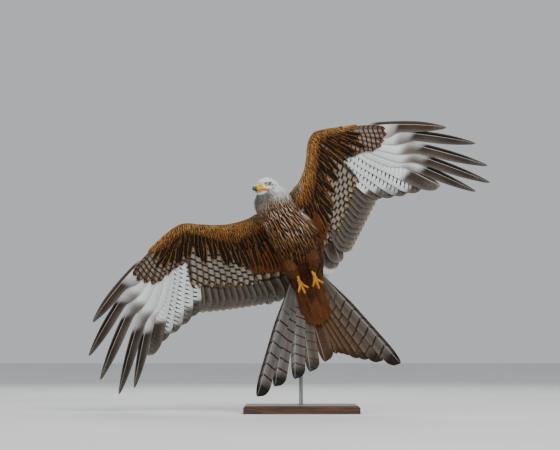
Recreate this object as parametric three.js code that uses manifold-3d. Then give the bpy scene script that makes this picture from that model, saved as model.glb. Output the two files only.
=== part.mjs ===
// A life-size red kite soaring on spread wings, held by a plain display stand.
// Millimetres, +Z up, origin at the centre of the stand's underside.
// The bird is built in a frame of its own: +X is its right side, +Y is ahead of it and +Z is its back.
import * as THREE from "three";
import { mergeVertices } from "three/addons/utils/BufferGeometryUtils.js";
import Module from "manifold-3d";

const wasm = await Module();
wasm.setup();

// The bird's place over the stand: it leans and rears so that its underside faces the front
const BIRD_AT = new THREE.Vector3(-12, -45, 468);
const LEAN = 23.6;
const REAR = 5;

// Gap left between neighbouring pieces
const GAP = 0.3;

// The stand
const BASE = { width: 320, depth: 230, height: 22, bevel: 5 };
const ROD = { radius: 6, back: 55, bend: 40, enters: 430, ahead: 60 };

// The trunk, from the base of the neck to the rump: ahead, centre right, centre up, half width, half depth
const TORSO = [
  { y: 124, x: 16, z: 2, w: 36, h: 31 },
  { y: 108, x: 14, z: 2, w: 53, h: 46 },
  { y: 75, x: 6, z: 0, w: 60, h: 54 },
  { y: 35, x: 0, z: -2, w: 63, h: 58 },
  { y: -10, x: 1, z: -2, w: 61, h: 55 },
  { y: -55, x: 5, z: 1, w: 56, h: 47 },
  { y: -95, x: 11, z: 5, w: 48, h: 37 },
  { y: -130, x: 16, z: 9, w: 38, h: 26 },
  { y: -158, x: 19, z: 12, w: 24, h: 15 },
];
const NECK = [
  { y: 92, x: 12, z: 2, w: 38, h: 32 },
  { y: 122, x: 15.5, z: 1, w: 52.5, h: 44 },
  { y: 146, x: 16, z: -3, w: 48, h: 39 },
  { y: 164, x: 14.5, z: -6, w: 40, h: 34 },
  { y: 178, x: 12, z: -7, w: 29.5, h: 27 },
];

// The head is turned to its right and looks down, so that its left cheek and its throat are seen from below
const HEAD_AT = new THREE.Vector3(16, 180, -11);
const BILL_WAY = new THREE.Vector3(0.522, 0.359, -0.773);
const CROWN_WAY = new THREE.Vector3(-0.325, 0.922, 0.209);
// Along the head: ahead, centre up, half width, half height
const SKULL = [
  { a: -46, b: -6, w: 15, h: 16 },
  { a: -38, b: -4, w: 21, h: 23 },
  { a: -24, b: -1, w: 25, h: 28 },
  { a: -8, b: 1, w: 26.5, h: 29 },
  { a: 6, b: 1, w: 26, h: 28 },
  { a: 17, b: -0.5, w: 23, h: 24 },
  { a: 26, b: -3, w: 18, h: 18.5 },
  { a: 33, b: -5, w: 12.5, h: 13 },
];
const EYE = { radius: 7, ahead: 14, up: 5, out: 18 };
const LID = { ring: 6.4, thick: 1.6, out: 4.4 };
// Ridges of the head run through points given as ahead, up and out
const BROW = {
  path: [[28, 4, 12], [20, 10.5, 19], [10, 13.5, 23.5], [-2, 12.5, 24.5]],
  radii: [1.4, 3.2, 3.2, 1.2],
};
const CERE = { from: 27, to: 42, halfWidth: 8.8, halfHeight: 8.6, down: -3.5 };
const GAPE = {
  path: [[33, -8.5, 9.4], [22, -9.6, 17.2], [11, -10.6, 22.4], [1, -10, 24.2]],
  tube: 1.7,
  end: 1,
};
const BILL = { root: 35, length: 26, halfWidth: 7.2, halfHeight: 7.6, hook: 11, ridge: -3.4 };
const LOWER_BILL = { reach: 0.6, width: 0.86, halfHeight: 3.2, chin: -10.5, drop: 2.5 };

// The line of the wing's bones and its front edge, as distances out from the middle line, ahead and up
const WINGS = [
  {
    name: "right",
    sign: 1,
    shoulder: [50, 86, 22],
    elbow: [165, 87, 34],
    wrist: [270, 172, 46],
    handTip: [368, 150, 50],
    frontEdge: [
      [50, 128], [110, 126], [168, 138], [230, 166],
      [262, 183], [290, 187], [335, 177], [392, 153],
    ],
    primaryFan: [70.8, 66.5, 62.1, 57.6, 54.8, 53, 49, 41.4, 33.3, 25.3],
    secondaryFan: [92, 72],
    tertialFan: [95, 91],
  },
  {
    name: "left",
    sign: -1,
    shoulder: [50, 86, 22],
    elbow: [105, 125, 34],
    wrist: [172, 256, 46],
    handTip: [266, 241, 50],
    frontEdge: [
      [34, 141], [78, 166], [110, 198], [138, 246],
      [152, 264], [176, 272], [230, 263], [288, 243],
    ],
    primaryFan: [64.5, 61.5, 57.8, 53.5, 49, 45.8, 41.6, 36.5, 29, 22.2],
    secondaryFan: [82, 68],
    tertialFan: [97, 88],
  },
];
const PRIMARY_LENGTHS = [253, 269, 287, 308, 344, 437, 459, 430, 375, 279];
const PRIMARIES = { inner: 36, outer: 10, bow: 12 };
// The outer primaries end in fingers: cut in at the notch, then narrowing from a place along them to the tip
const FINGERS = { first: 6, notch: 0.46, inner: 21, outer: 10, bow: 22, bowStep: 5, narrow: 0.66, tip: 0.16 };
const SECONDARIES = { count: 11, first: 243, last: 203, inner: 33, outer: 14 };
const TERTIALS = { count: 4, first: 208, last: 219, inner: 30, outer: 18 };
const AXILLARIES = { count: 5, length: 150, half: 15, fan: [93, 88], from: 0.12, to: 0.7 };
const ALULA = { lengths: [104, 86, 64], inner: 12, outer: 7, turn: 9, ahead: 13 };
// Coverts lie over the quills on both faces: reach as a part of the flight feather, and height off the wing
const COVERTS = {
  hand: 14,
  arm: 16,
  outer: 8,
  under: { reach: 0.46, fromHand: 62, perPrimary: 0.13, rootHeight: -5, height: -6.4, ahead: 6 },
  upper: { reach: 0.44, fromHand: 66, perPrimary: 0.1, rootHeight: 4.5, height: 4.5, ahead: 6 },
};
const TRAILING_FLESH = 24;
const EDGE_THICKNESS = 14;
const VANE = 0.7;
// Each vane tilts about its shaft to pass under the next one out: degrees at the root and at the tip
const SHINGLE = [6.5, 5.5];
const HAND_LOWER = 0.4;
// The wing's surface rises from the body to the wrist, falls towards the rear and bends up at its tip
const WING_RISE = { body: 22, wrist: 26, from: 50, to: 280, slope: 0.05, level: 100 };
const WING_TIP = { from: 150, over: 300, lift: 34, soften: 90 };
// Half thickness of the wing's flesh, from the body to the hand
const WING_FLESH = { body: 15, hand: 8, round: 0.22 };

// The tail: shaft angles from straight back, and lengths, from the middle pair outwards
const TAIL_AT = new THREE.Vector3(17, -92, 14);
const TAIL_DROP = 15;
const TAIL_LENGTHS = [246, 257, 275, 290, 313, 348];
const TAIL_SIDES = [
  { sign: 1, fan: [0, 6.8, 15.6, 23.4, 32.8, 39.1], reach: 0.955 },
  { sign: -1, fan: [6, 7, 8.4, 10.4, 13.2, 17.6], reach: 1.003 },
];
const TAIL_ROOT = { spacing: 7.6, step: 1.2 };
const TAIL_VANE = { inner: 29, outer: 11, bow: 3, outerBow: 2 };
const TAIL_COVERTS = { count: 5, under: 128, upper: 96, half: 19 };

// The legs, folded back under the belly, with clenched toes
const LEGS = [
  { name: "right", sign: 1, hip: [40, -28, -22], heel: [36, -82, -41], foot: [34, -100, -51] },
  { name: "left", sign: -1, hip: [-22, -28, -22], heel: [-12, -82, -41], foot: [-9, -103, -51] },
];
const THIGH = [24, 21, 10];
const SHANK = [5, 4.6, 5];
const SOLE = 6;
// The toes, the hind one last: each one's turn from straight back, share of the length and height of its tip
const TOE = {
  radius: 3.1,
  length: 34,
  spread: [-34, 2, 38, 178],
  share: [0.82, 1, 0.78, 0.66],
  tip: [6, 6, 6, -5],
};
const CLAW = { radius: 1.9, length: [15, 15, 15, 9] };

const rad = THREE.MathUtils.degToRad;
const UP = new THREE.Vector3(0, 0, 1);
const vec = (x, y, z) => new THREE.Vector3(x, y, z);
const mix = THREE.MathUtils.lerp;
const ease = THREE.MathUtils.smoothstep;

// Materials
const coat = (color, roughness = 0.85) => new THREE.MeshStandardMaterial({ color, roughness });
const MATERIALS = {
  rufous: coat(0x8a4a20),
  pale: coat(0xd9d6cf),
  streaked: coat(0xb99a72),
  flight: coat(0x6e655d),
  tail: coat(0xa9714a),
  bill: coat(0x2b2724, 0.4),
  cere: coat(0xe9b40e, 0.5),
  eye: coat(0xe8cf6a, 0.15),
  claw: coat(0x1c1a19, 0.4),
  wood: coat(0x5b3d28, 0.5),
  steel: new THREE.MeshStandardMaterial({ color: 0x8d9094, roughness: 0.35, metalness: 1 }),
};

// Joining and cutting

function solidOf(geometry) {
  const bare = geometry.clone();
  bare.deleteAttribute("normal");
  bare.deleteAttribute("uv");
  const merged = mergeVertices(bare, 1e-3);
  const vertProperties = new Float32Array(merged.attributes.position.array);
  const triVerts = new Uint32Array(merged.index.array);
  const solid = new wasm.Manifold(new wasm.Mesh({ numProp: 3, vertProperties, triVerts }));
  if (solid.volume() > 0) return solid;
  // A form mapped through a mirror faces inwards, so its triangles are turned round
  for (let i = 0; i < triVerts.length; i += 3) {
    [triVerts[i], triVerts[i + 1]] = [triVerts[i + 1], triVerts[i]];
  }
  return new wasm.Manifold(new wasm.Mesh({ numProp: 3, vertProperties, triVerts }));
}

function geometryOf(solid) {
  const mesh = solid.getMesh();
  const geometry = new THREE.BufferGeometry();
  geometry.setAttribute("position", new THREE.BufferAttribute(mesh.vertProperties, 3));
  geometry.setIndex(new THREE.BufferAttribute(mesh.triVerts, 1));
  return geometry;
}

const join = (solids) => solids.reduce((all, one) => all.add(one));
const cut = (solid, tools) => tools.reduce((left, tool) => left.subtract(tool), solid);

// The largest closed surface of a solid, without loose scraps
function largest(solid) {
  const bodies = solid.decompose();
  return bodies.reduce((best, body) => (body.volume() > best.volume() ? body : best));
}

// Forms

// Moves every vertex of a geometry through a function of its place
function reshape(geometry, map) {
  const at = geometry.attributes.position;
  for (let i = 0; i < at.count; i++) {
    const p = map(at.getX(i), at.getY(i), at.getZ(i));
    at.setXYZ(i, p.x, p.y, p.z);
  }
  return geometry;
}

// A closed form through oval stations: place(t), for t from 0 to 1, gives the centre and two half axes
function loft(sides, steps, place) {
  const form = new THREE.CylinderGeometry(1, 1, 1, sides, steps);
  return reshape(form, (x, y, z) => {
    const { centre, across, upward } = place(y + 0.5);
    return centre.clone().addScaledVector(across, x).addScaledVector(upward, z);
  });
}

// Values between the rows of a table, read at t from 0 to 1 along it
function along(rows, t) {
  const at = Math.min(t * (rows.length - 1), rows.length - 1.000001);
  const k = Math.floor(at);
  const read = {};
  for (const key of Object.keys(rows[k])) read[key] = mix(rows[k][key], rows[k + 1][key], at - k);
  return read;
}

// A thin closed sheet: one grid of triangles, alike on both faces, with a rim between them.
// map(u, v, face) takes u from -1 to 1, v from 0 to 1 and face 1 or -1
function sheet(across, steps, map) {
  const grid = new THREE.PlaneGeometry(2, 1, across, steps);
  const at = grid.attributes.position;
  const points = [];
  for (const face of [1, -1]) {
    for (let i = 0; i < at.count; i++) points.push(map(at.getX(i), 0.5 - at.getY(i), face));
  }
  const front = [...grid.index.array];
  const index = [...front];
  for (let i = 0; i < front.length; i += 3) {
    index.push(front[i] + at.count, front[i + 2] + at.count, front[i + 1] + at.count);
  }
  const row = across + 1;
  const ring = [];
  for (let i = 0; i < across; i++) ring.push(i);
  for (let j = 0; j < steps; j++) ring.push(j * row + across);
  for (let i = across; i > 0; i--) ring.push(steps * row + i);
  for (let j = steps; j > 0; j--) ring.push(j * row);
  ring.forEach((a, k) => {
    const b = ring[(k + 1) % ring.length];
    index.push(a, b, b + at.count, a, b + at.count, a + at.count);
  });
  const made = new THREE.BufferGeometry().setFromPoints(points);
  made.setIndex(index);
  return solidOf(made);
}

// A feather's half width at v along it: a narrow quill, a full vane and a rounded tip
function bluntVane(full, tip = 0.84) {
  return (v) => {
    const rounded = v < tip ? 1 : Math.sqrt(Math.max(0.04, 1 - ((v - tip) / (1 - tip)) ** 2));
    return full * mix(0.22, 1, ease(v, 0, 0.42)) * rounded;
  };
}

// The half width of a finger: wide at its base, cut in to a narrow blade, pointed at last
function fingerVane(full, blade) {
  return (v) => {
    const { notch, narrow, tip } = FINGERS;
    const cutIn = mix(full, blade, ease(v, notch - 0.07, notch + 0.07));
    const narrowed = Math.max(0, (v - narrow) / (1 - narrow)) ** 2;
    return cutIn * mix(0.22, 1, ease(v, 0, 0.3)) * mix(1, tip, narrowed);
  };
}

// The bird's body

function trunk(rows, sides, steps, grow = 0) {
  return solidOf(
    loft(sides, steps, (t) => {
      const s = along(rows, t);
      return {
        centre: vec(s.x, s.y + grow * (1 - 2 * t), s.z),
        across: vec(s.w + grow, 0, 0),
        upward: vec(0, 0, -s.h - grow),
      };
    }),
  );
}

// The head's own frame: ahead along the bill, up to the crown, out to the left
const headAhead = BILL_WAY.clone().normalize();
const headUp = CROWN_WAY.clone().addScaledVector(headAhead, -CROWN_WAY.dot(headAhead)).normalize();
const headLeft = headUp.clone().cross(headAhead);
const onHead = (a, b, c) =>
  HEAD_AT.clone().addScaledVector(headAhead, a).addScaledVector(headUp, b).addScaledVector(headLeft, c);

// A loft along the head, from back to front through rows of { a, b, w, h }
function headLoft(rows, sides, grow = 0) {
  return solidOf(
    loft(sides, (rows.length - 1) * 2, (t) => {
      const s = along(rows, 1 - t);
      return {
        centre: onHead(s.a + grow * (2 * (1 - t) - 1), s.b, 0),
        across: headLeft.clone().multiplyScalar(s.w + grow),
        upward: headUp.clone().multiplyScalar(s.h + grow),
      };
    }),
  );
}

function ball(centre, radius, wide = 12, high = 8) {
  return solidOf(new THREE.SphereGeometry(radius, wide, high).translate(centre.x, centre.y, centre.z));
}

// A ridge or rim on one side of the head, through points [ahead, up, out] with their radii
function rim(side, points, radii, sides = 6, steps = 6) {
  const curve = new THREE.CatmullRomCurve3(points.map(([a, b, c]) => onHead(a, b, side * c)));
  return solidOf(
    loft(sides, steps, (t) => {
      const way = curve.getTangent(1 - t);
      const across = way.clone().cross(headUp).normalize();
      const r = along(radii.map((value) => ({ value })), 1 - t).value;
      return {
        centre: curve.getPoint(1 - t),
        across: across.clone().multiplyScalar(r),
        upward: across.clone().cross(way).multiplyScalar(r),
      };
    }),
  );
}

// The bony brow that overhangs the eye, from above the cere to behind the eye
const brow = (side) => rim(side, BROW.path, BROW.radii, 5, 5);

// The lids: a soft ring around the eye
function lids(side) {
  const ring = new THREE.TorusGeometry(LID.ring, LID.thick, 5, 12);
  const out = headLeft.clone().multiplyScalar(side).addScaledVector(headAhead, 0.3).normalize();
  ring.applyQuaternion(new THREE.Quaternion().setFromUnitVectors(UP, out));
  const at = eyeCentre(side).addScaledVector(out, LID.out);
  return solidOf(ring.translate(at.x, at.y, at.z));
}

const eyeCentre = (side) => onHead(EYE.ahead, EYE.up, side * EYE.out);

// The bare yellow cere at the root of the bill, with the lip that runs back along the mouth
function cere(grow = 0) {
  const { from, to, halfWidth, halfHeight, down } = CERE;
  const rows = [
    { a: from, b: down, w: halfWidth + 3.4, h: halfHeight + 3 },
    { a: mix(from, to, 0.45), b: down, w: halfWidth + 1.4, h: halfHeight + 1 },
    { a: mix(from, to, 0.75), b: down, w: halfWidth, h: halfHeight },
    { a: to, b: down - 0.4, w: halfWidth - 1.6, h: halfHeight - 1 },
  ];
  const { path, tube, end } = GAPE;
  const lips = [1, -1].map((side) => rim(side, path, [tube, tube, tube, end].map((r) => r + grow), 5, 5));
  return join([headLoft(rows, 14, grow), ...lips]);
}

// The upper bill curves down to a hook, and the lower one lies short and flat beneath it
function billForm(top, grow = 0) {
  const { root, length, halfWidth, halfHeight, hook, ridge } = BILL;
  const low = LOWER_BILL;
  return solidOf(
    loft(12, 8, (t) => {
      const s = 1 - t;
      const drop = top ? hook * s ** 2.4 : low.drop * s * s;
      const taper = Math.sqrt(Math.max(0.015, 1 - s ** (top ? 2.2 : 3)));
      const turn = top ? 1.15 * s ** 2 : 0;
      const upward = headUp.clone().multiplyScalar(Math.cos(turn)).addScaledVector(headAhead, Math.sin(turn));
      const reach = root + s * length * (top ? 1 : low.reach) - (top ? 3 * s ** 4 : 0);
      return {
        centre: onHead(reach, (top ? ridge : low.chin) - drop, 0),
        across: headLeft.clone().multiplyScalar(halfWidth * (top ? 1 : low.width) * taper + grow),
        upward: upward.multiplyScalar((top ? halfHeight : low.halfHeight) * taper + grow),
      };
    }),
  );
}

// The wings

const between = (a, b, t) => a.map((value, k) => mix(value, b[k], t));

// The height of the wing's middle surface at a place out from the body and ahead
function wingHeight(wing, out, ahead) {
  const { body, wrist, from, to, slope, level } = WING_RISE;
  const [wristOut, wristAhead] = wing.wrist;
  const onHand = ease(out, wristOut, wristOut + WING_TIP.soften);
  const beyondWrist = Math.hypot(out - wristOut, ahead - wristAhead);
  const bent = Math.max(0, (beyondWrist - WING_TIP.from) / WING_TIP.over) ** 2;
  return body + wrist * ease(out, from, to) + slope * (ahead - level) + WING_TIP.lift * bent * onHand;
}

// A vane laid on the wing: root and shaft are plan places, height is its distance off the middle surface
function wingVane(wing, f, grow = 0) {
  const turn = rad(f.degrees);
  const [wayOut, wayAhead] = [Math.cos(turn), -Math.sin(turn)];
  const width = (u, v) => (u > 0 ? f.inner(v) : f.outer(v)) + grow;
  return sheet(1, f.steps, (u, v, face) => {
    const s = v * (f.length + 2 * grow) - grow;
    const aside = u * width(u, v);
    const bow = f.bow * (v * v - v);
    const shaft = [f.root[0] + wayOut * s + wayAhead * bow, f.root[1] + wayAhead * s - wayOut * bow];
    const level = wingHeight(wing, ...shaft);
    const slope = wingHeight(wing, shaft[0] + wayAhead, shaft[1] - wayOut) - level;
    const tilt = Math.tan(rad(mix(SHINGLE[0], SHINGLE[1], Math.min(1, s / 240))));
    const layer = mix(f.rootHeight, f.height, ease(v, 0.25, 0.7));
    const height = level + layer + aside * (slope - tilt) + face * (VANE / 2 + grow);
    return vec(wing.sign * (shaft[0] + wayAhead * aside), shaft[1] - wayOut * aside, height);
  });
}

const onWing = { rootHeight: 0, height: 0, bow: 0 };

// Every flight feather of a wing, from the body out to the wing tip
function flightFeathers(wing) {
  const { elbow } = wing;
  const found = [];
  for (let k = 0; k < TERTIALS.count; k++) {
    const t = k / TERTIALS.count;
    found.push({
      ...onWing,
      kind: "tertial",
      root: between(between(wing.shoulder, elbow, 0.2), elbow, t),
      degrees: mix(...wing.tertialFan, t),
      length: mix(TERTIALS.last, TERTIALS.first, t),
      inner: bluntVane(TERTIALS.inner),
      outer: bluntVane(TERTIALS.outer),
      steps: 4,
    });
  }
  for (let k = 0; k < SECONDARIES.count; k++) {
    const t = k / (SECONDARIES.count - 1);
    found.push({
      ...onWing,
      kind: "secondary",
      root: between(elbow, wing.wrist, mix(0, 0.95, t)),
      degrees: mix(...wing.secondaryFan, t),
      length: mix(SECONDARIES.last, SECONDARIES.first, t),
      inner: bluntVane(SECONDARIES.inner),
      outer: bluntVane(SECONDARIES.outer),
      steps: 4,
    });
  }
  PRIMARY_LENGTHS.forEach((length, k) => {
    const t = k / (PRIMARY_LENGTHS.length - 1);
    const finger = k + 1 >= FINGERS.first;
    const { inner, outer, bow } = PRIMARIES;
    found.push({
      kind: "primary",
      rootHeight: -HAND_LOWER,
      height: -HAND_LOWER,
      root: between(wing.wrist, wing.handTip, mix(0.03, 1, t)),
      degrees: wing.primaryFan[k],
      length,
      inner: finger ? fingerVane(inner, FINGERS.inner) : bluntVane(inner),
      outer: finger ? fingerVane(outer, FINGERS.outer) : bluntVane(outer),
      bow: finger ? FINGERS.bow + FINGERS.bowStep * (k + 1 - FINGERS.first) : bow,
      steps: finger ? 7 : 5,
    });
  });
  return found;
}

// The greater coverts of one face, one to each secondary and primary
function coverts(wing, feathers, layer) {
  return feathers
    .filter((f) => f.kind !== "tertial")
    .map((f) => {
      const turn = rad(f.degrees);
      const onHand = f.kind === "primary";
      return {
        ...f,
        root: [f.root[0] - Math.cos(turn) * layer.ahead, f.root[1] + Math.sin(turn) * layer.ahead],
        length: onHand ? layer.fromHand + layer.perPrimary * f.length : layer.reach * f.length,
        inner: bluntVane(onHand ? COVERTS.hand : COVERTS.arm, 0.7),
        outer: bluntVane(COVERTS.outer, 0.7),
        height: f.height + layer.height,
        rootHeight: f.height + layer.rootHeight,
        bow: 0,
        steps: 3,
      };
    });
}

// Long feathers of the armpit, which fill the corner between wing and flank
function axillaries(wing) {
  const { elbow } = wing;
  const found = [];
  for (let k = 0; k < AXILLARIES.count; k++) {
    const t = k / (AXILLARIES.count - 1);
    found.push({
      ...onWing,
      kind: "axillary",
      root: between(wing.shoulder, elbow, mix(AXILLARIES.from, AXILLARIES.to, t)),
      degrees: mix(...AXILLARIES.fan, t),
      length: AXILLARIES.length * mix(1, 0.78, t),
      inner: bluntVane(AXILLARIES.half, 0.6),
      outer: bluntVane(AXILLARIES.half, 0.6),
      rootHeight: -4.6,
      height: -8.5,
      steps: 3,
    });
  }
  return found;
}

// The alula lies along the front of the hand, on its back
function alula(wing) {
  const [wx, wy] = wing.wrist;
  const [hx, hy] = wing.handTip;
  const handWay = THREE.MathUtils.radToDeg(Math.atan2(wy - hy, hx - wx));
  return ALULA.lengths.map((length, k) => ({
    ...onWing,
    kind: "alula",
    root: [wx + ALULA.ahead - k * 1.5, wy + 3 - k * 4],
    degrees: handWay + ALULA.turn + k * 3,
    length,
    inner: bluntVane(ALULA.inner, 0.6),
    outer: bluntVane(ALULA.outer, 0.6),
    rootHeight: 3,
    height: 8 - k * 1.4,
    steps: 4,
  }));
}

// The fleshy part of a wing, from its leading edge to just behind the bones
function wingFlesh(wing) {
  const { elbow } = wing;
  const line = [between(wing.shoulder, elbow, -0.2), wing.shoulder, elbow, wing.wrist, wing.handTip];
  const bones = new THREE.CatmullRomCurve3(line.map((p) => vec(...p)), false, "catmullrom", 0.2);
  const front = new THREE.CatmullRomCurve3(wing.frontEdge.map(([x, y]) => vec(x, y, 0)));
  return sheet(6, 9, (u, v, face) => {
    const bone = bones.getPoint(mix(0.22, 1, v)).setZ(0);
    const lead = front.getPoint(v);
    const rear = bone.clone().addScaledVector(lead.clone().sub(bone).normalize(), -TRAILING_FLESH);
    const s = (u + 1) / 2;
    const p = lead.clone().lerp(rear, s);
    const fat = mix(mix(WING_FLESH.body, WING_FLESH.hand, v), EDGE_THICKNESS / 2, ease(s, 0.15, 1));
    const round = Math.sqrt(Math.max(0.04, 1 - (1 - Math.min(1, s / WING_FLESH.round)) ** 2));
    return vec(wing.sign * p.x, p.y, wingHeight(wing, p.x, p.y) + face * fat * round);
  });
}

// The flat that parts the hand's flesh from the arm's, along the gap between two quills
function wristPlane(wing, feathers) {
  const outer = feathers.find((f) => f.kind === "primary");
  const inner = feathers.filter((f) => f.kind === "secondary").pop();
  const turn = rad((outer.degrees + inner.degrees) / 2);
  const out = [Math.sin(turn), Math.cos(turn)];
  const at = between(outer.root, inner.root, 0.5);
  return { normal: [wing.sign * out[0], out[1], 0], offset: out[0] * at[0] + out[1] * at[1] };
}

const beyond = (solid, { normal, offset }) => solid.trimByPlane(normal, offset + GAP / 2);
const within = (solid, { normal, offset }) => solid.trimByPlane(normal.map((n) => -n), -offset + GAP / 2);

// Whether a feather's root lies close to the wrist's flat
function nearPlane(f, wing, { normal, offset }) {
  return Math.abs(wing.sign * normal[0] * f.root[0] + normal[1] * f.root[1] - offset) < 45;
}

// The tail

// The tail lies in one plane that drops from the body: its straight way, its side and its back
const tailWay = vec(0, -Math.cos(rad(TAIL_DROP)), -Math.sin(rad(TAIL_DROP)));
const tailBack = vec(0, -Math.sin(rad(TAIL_DROP)), Math.cos(rad(TAIL_DROP)));
const onTail = (across, down, off) =>
  TAIL_AT.clone().addScaledVector(tailWay, down).addScaledVector(tailBack, off).add(vec(across, 0, 0));

// A vane in the tail's plane: turned from straight back by degrees towards its side, off the plane by a level
function tailVane(f) {
  const turn = rad(f.degrees);
  return sheet(1, f.steps, (u, v, face) => {
    const half = u > 0 ? f.inner(v) : f.outer(v);
    const s = v * f.length;
    const aside = -u * half + f.bow * (v - v * v);
    const across = f.across + Math.sin(turn) * s + Math.cos(turn) * aside;
    const down = f.down + Math.cos(turn) * s - Math.sin(turn) * aside;
    return onTail(f.sign * across, down, f.level + f.sink * v + (face * VANE) / 2);
  });
}

// The twelve tail feathers, the outermost pair undermost
function tailFeathers() {
  return TAIL_SIDES.flatMap(({ sign, fan, reach }) =>
    TAIL_LENGTHS.map((length, k) => ({
      sign,
      across: (k + 0.5) * TAIL_ROOT.spacing,
      down: 0,
      degrees: fan[k],
      length: length * reach,
      level: -TAIL_ROOT.step * (2 * k + (sign < 0 ? 1 : 0)),
      sink: 0,
      inner: bluntVane(TAIL_VANE.inner, 0.9),
      outer: bluntVane(TAIL_VANE.outer, 0.8),
      bow: k > 3 ? TAIL_VANE.outerBow : TAIL_VANE.bow,
      steps: 6,
    })),
  );
}

// Coverts over the tail's root, below and above, in a small fan of their own
function tailCoverts(length, level, sink) {
  const found = [];
  for (let k = 0; k < TAIL_COVERTS.count; k++) {
    const t = (k / (TAIL_COVERTS.count - 1)) * 2 - 1;
    found.push({
      sign: 1,
      across: t * 22,
      down: 20,
      degrees: t * 9 + 3,
      length: length * (1 - 0.18 * Math.abs(t)),
      level: level + Math.sign(level) * (2 - Math.abs(t) * 1.2 - t * 0.25),
      sink,
      inner: bluntVane(TAIL_COVERTS.half, 0.5),
      outer: bluntVane(TAIL_COVERTS.half, 0.5),
      bow: 0,
      steps: 4,
    });
  }
  return found;
}

function tailBase(grow = 0) {
  return solidOf(
    loft(14, 6, (t) => {
      const s = 1 - t;
      const round = Math.sqrt(Math.max(0.15, 1 - Math.max(0, (s - 0.5) / 0.5) ** 2.5));
      return {
        centre: onTail(0, mix(-20 - grow, 66 + grow, s), -6),
        across: vec(mix(32, 46, s) * mix(1, round, 0.5) + grow, 0, 0),
        upward: tailBack.clone().multiplyScalar(mix(17, 15, s) * round + grow),
      };
    }),
  );
}

// The legs

// A round rod through points, thinner towards its end
function limb(points, radii, sides = 6, steps = 6) {
  const curve = new THREE.CatmullRomCurve3(points);
  return solidOf(
    loft(sides, steps, (t) => {
      const way = curve.getTangent(1 - t);
      const across = way.clone().cross(UP).normalize();
      const r = along(radii.map((value) => ({ value })), 1 - t).value;
      return {
        centre: curve.getPoint(1 - t),
        across: across.clone().multiplyScalar(r),
        upward: across.clone().cross(way).multiplyScalar(r),
      };
    }),
  );
}

function thigh(leg, grow = 0) {
  const [hip, heel] = [vec(...leg.hip), vec(...leg.heel)];
  const middle = hip.clone().lerp(heel, 0.5).add(vec(leg.sign * 4, 0, -6));
  return limb([hip, middle, heel], THIGH.map((r) => r + grow), 12, 6);
}

// Three toes forward and one back, curled in a loose fist
function toeLines(leg) {
  const foot = vec(...leg.foot);
  return TOE.spread.map((degrees, k) => {
    const turn = rad(degrees);
    const out = vec(Math.sin(turn) * -leg.sign, -Math.cos(turn), 0);
    const length = TOE.length * TOE.share[k];
    const high = TOE.tip[k];
    const knuckle = foot.clone().addScaledVector(out, length * 0.45).add(vec(0, 0, high / 2 - 7));
    const bend = foot.clone().addScaledVector(out, length * 0.8).add(vec(0, 0, high - 7));
    const tip = foot.clone().addScaledVector(out, length * 0.86).add(vec(0, 0, high));
    return { out, points: [foot.clone(), knuckle, bend, tip], clawLength: CLAW.length[k] };
  });
}

function foot(leg, grow = 0) {
  const [heel, sole] = [vec(...leg.heel), vec(...leg.foot)];
  const line = [heel.clone().add(vec(0, 6, 3)), heel.clone().lerp(sole, 0.5), sole];
  const shank = limb(line, SHANK.map((r) => r + grow));
  const toeRadii = [TOE.radius + 0.8, TOE.radius, TOE.radius - 0.5].map((r) => r + grow);
  const toes = toeLines(leg).map((toe) => limb(toe.points, toeRadii));
  return join([shank, ball(sole, SOLE + grow, 8, 6), ...toes]);
}

function claw({ out, points, clawLength }) {
  const start = points[3];
  const middle = start.clone().addScaledVector(out, -clawLength * 0.3).add(vec(0, 0, clawLength * 0.3));
  const tip = start.clone().addScaledVector(out, -clawLength * 0.85).add(vec(0, 0, clawLength * 0.25));
  const radii = [CLAW.radius + 0.3, CLAW.radius, 0.35];
  return limb([start.clone().addScaledVector(UP, -1), middle, tip], radii, 5, 4);
}

// The stand

function baseBoard() {
  const { width, depth, height, bevel } = BASE;
  const outline = new THREE.Shape();
  const [x, y] = [width / 2 - bevel, depth / 2 - bevel];
  outline.moveTo(-x, -y).lineTo(x, -y).lineTo(x, y).lineTo(-x, y).closePath();
  const board = new THREE.ExtrudeGeometry(outline, {
    depth: height - bevel,
    bevelEnabled: true,
    bevelThickness: bevel,
    bevelSize: bevel,
    bevelSegments: 1,
  });
  const solid = solidOf(board);
  return solid.trimByPlane([0, 0, 1], 0);
}

// The rod rises behind the bird, bends and enters its back
function rod() {
  const { radius, back, bend, enters, ahead } = ROD;
  const [low, turnAt] = [vec(0, back, BASE.height + GAP), vec(0, back, enters - bend)];
  const [corner, level] = [vec(0, back, enters), vec(0, back - bend, enters)];
  const path = new THREE.CurvePath();
  path.add(new THREE.LineCurve3(low, turnAt));
  path.add(new THREE.QuadraticBezierCurve3(turnAt, corner, level));
  path.add(new THREE.LineCurve3(level, vec(0, back - bend - ahead, enters)));
  const curve = new THREE.CatmullRomCurve3(path.getSpacedPoints(40));
  return solidOf(
    loft(10, 16, (t) => {
      const way = curve.getTangentAt(1 - t);
      const across = vec(1, 0, 0);
      return {
        centre: curve.getPointAt(1 - t),
        across: across.clone().multiplyScalar(radius),
        upward: across.clone().cross(way).multiplyScalar(radius),
      };
    }),
  );
}

// Assembly

const right = vec(1, 0, 0);
const rise = vec(0, -Math.sin(rad(REAR)), Math.cos(rad(REAR)));
const birdX = right.clone().multiplyScalar(-Math.cos(rad(LEAN))).addScaledVector(rise, -Math.sin(rad(LEAN)));
const birdY = right.clone().multiplyScalar(-Math.sin(rad(LEAN))).addScaledVector(rise, Math.cos(rad(LEAN)));
const birdZ = birdX.clone().cross(birdY);
const birdPlace = new THREE.Matrix4().makeBasis(birdX, birdY, birdZ).setPosition(BIRD_AT);

const model = new THREE.Group();
const bird = new THREE.Group();
bird.applyMatrix4(birdPlace);
model.add(bird);

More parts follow.
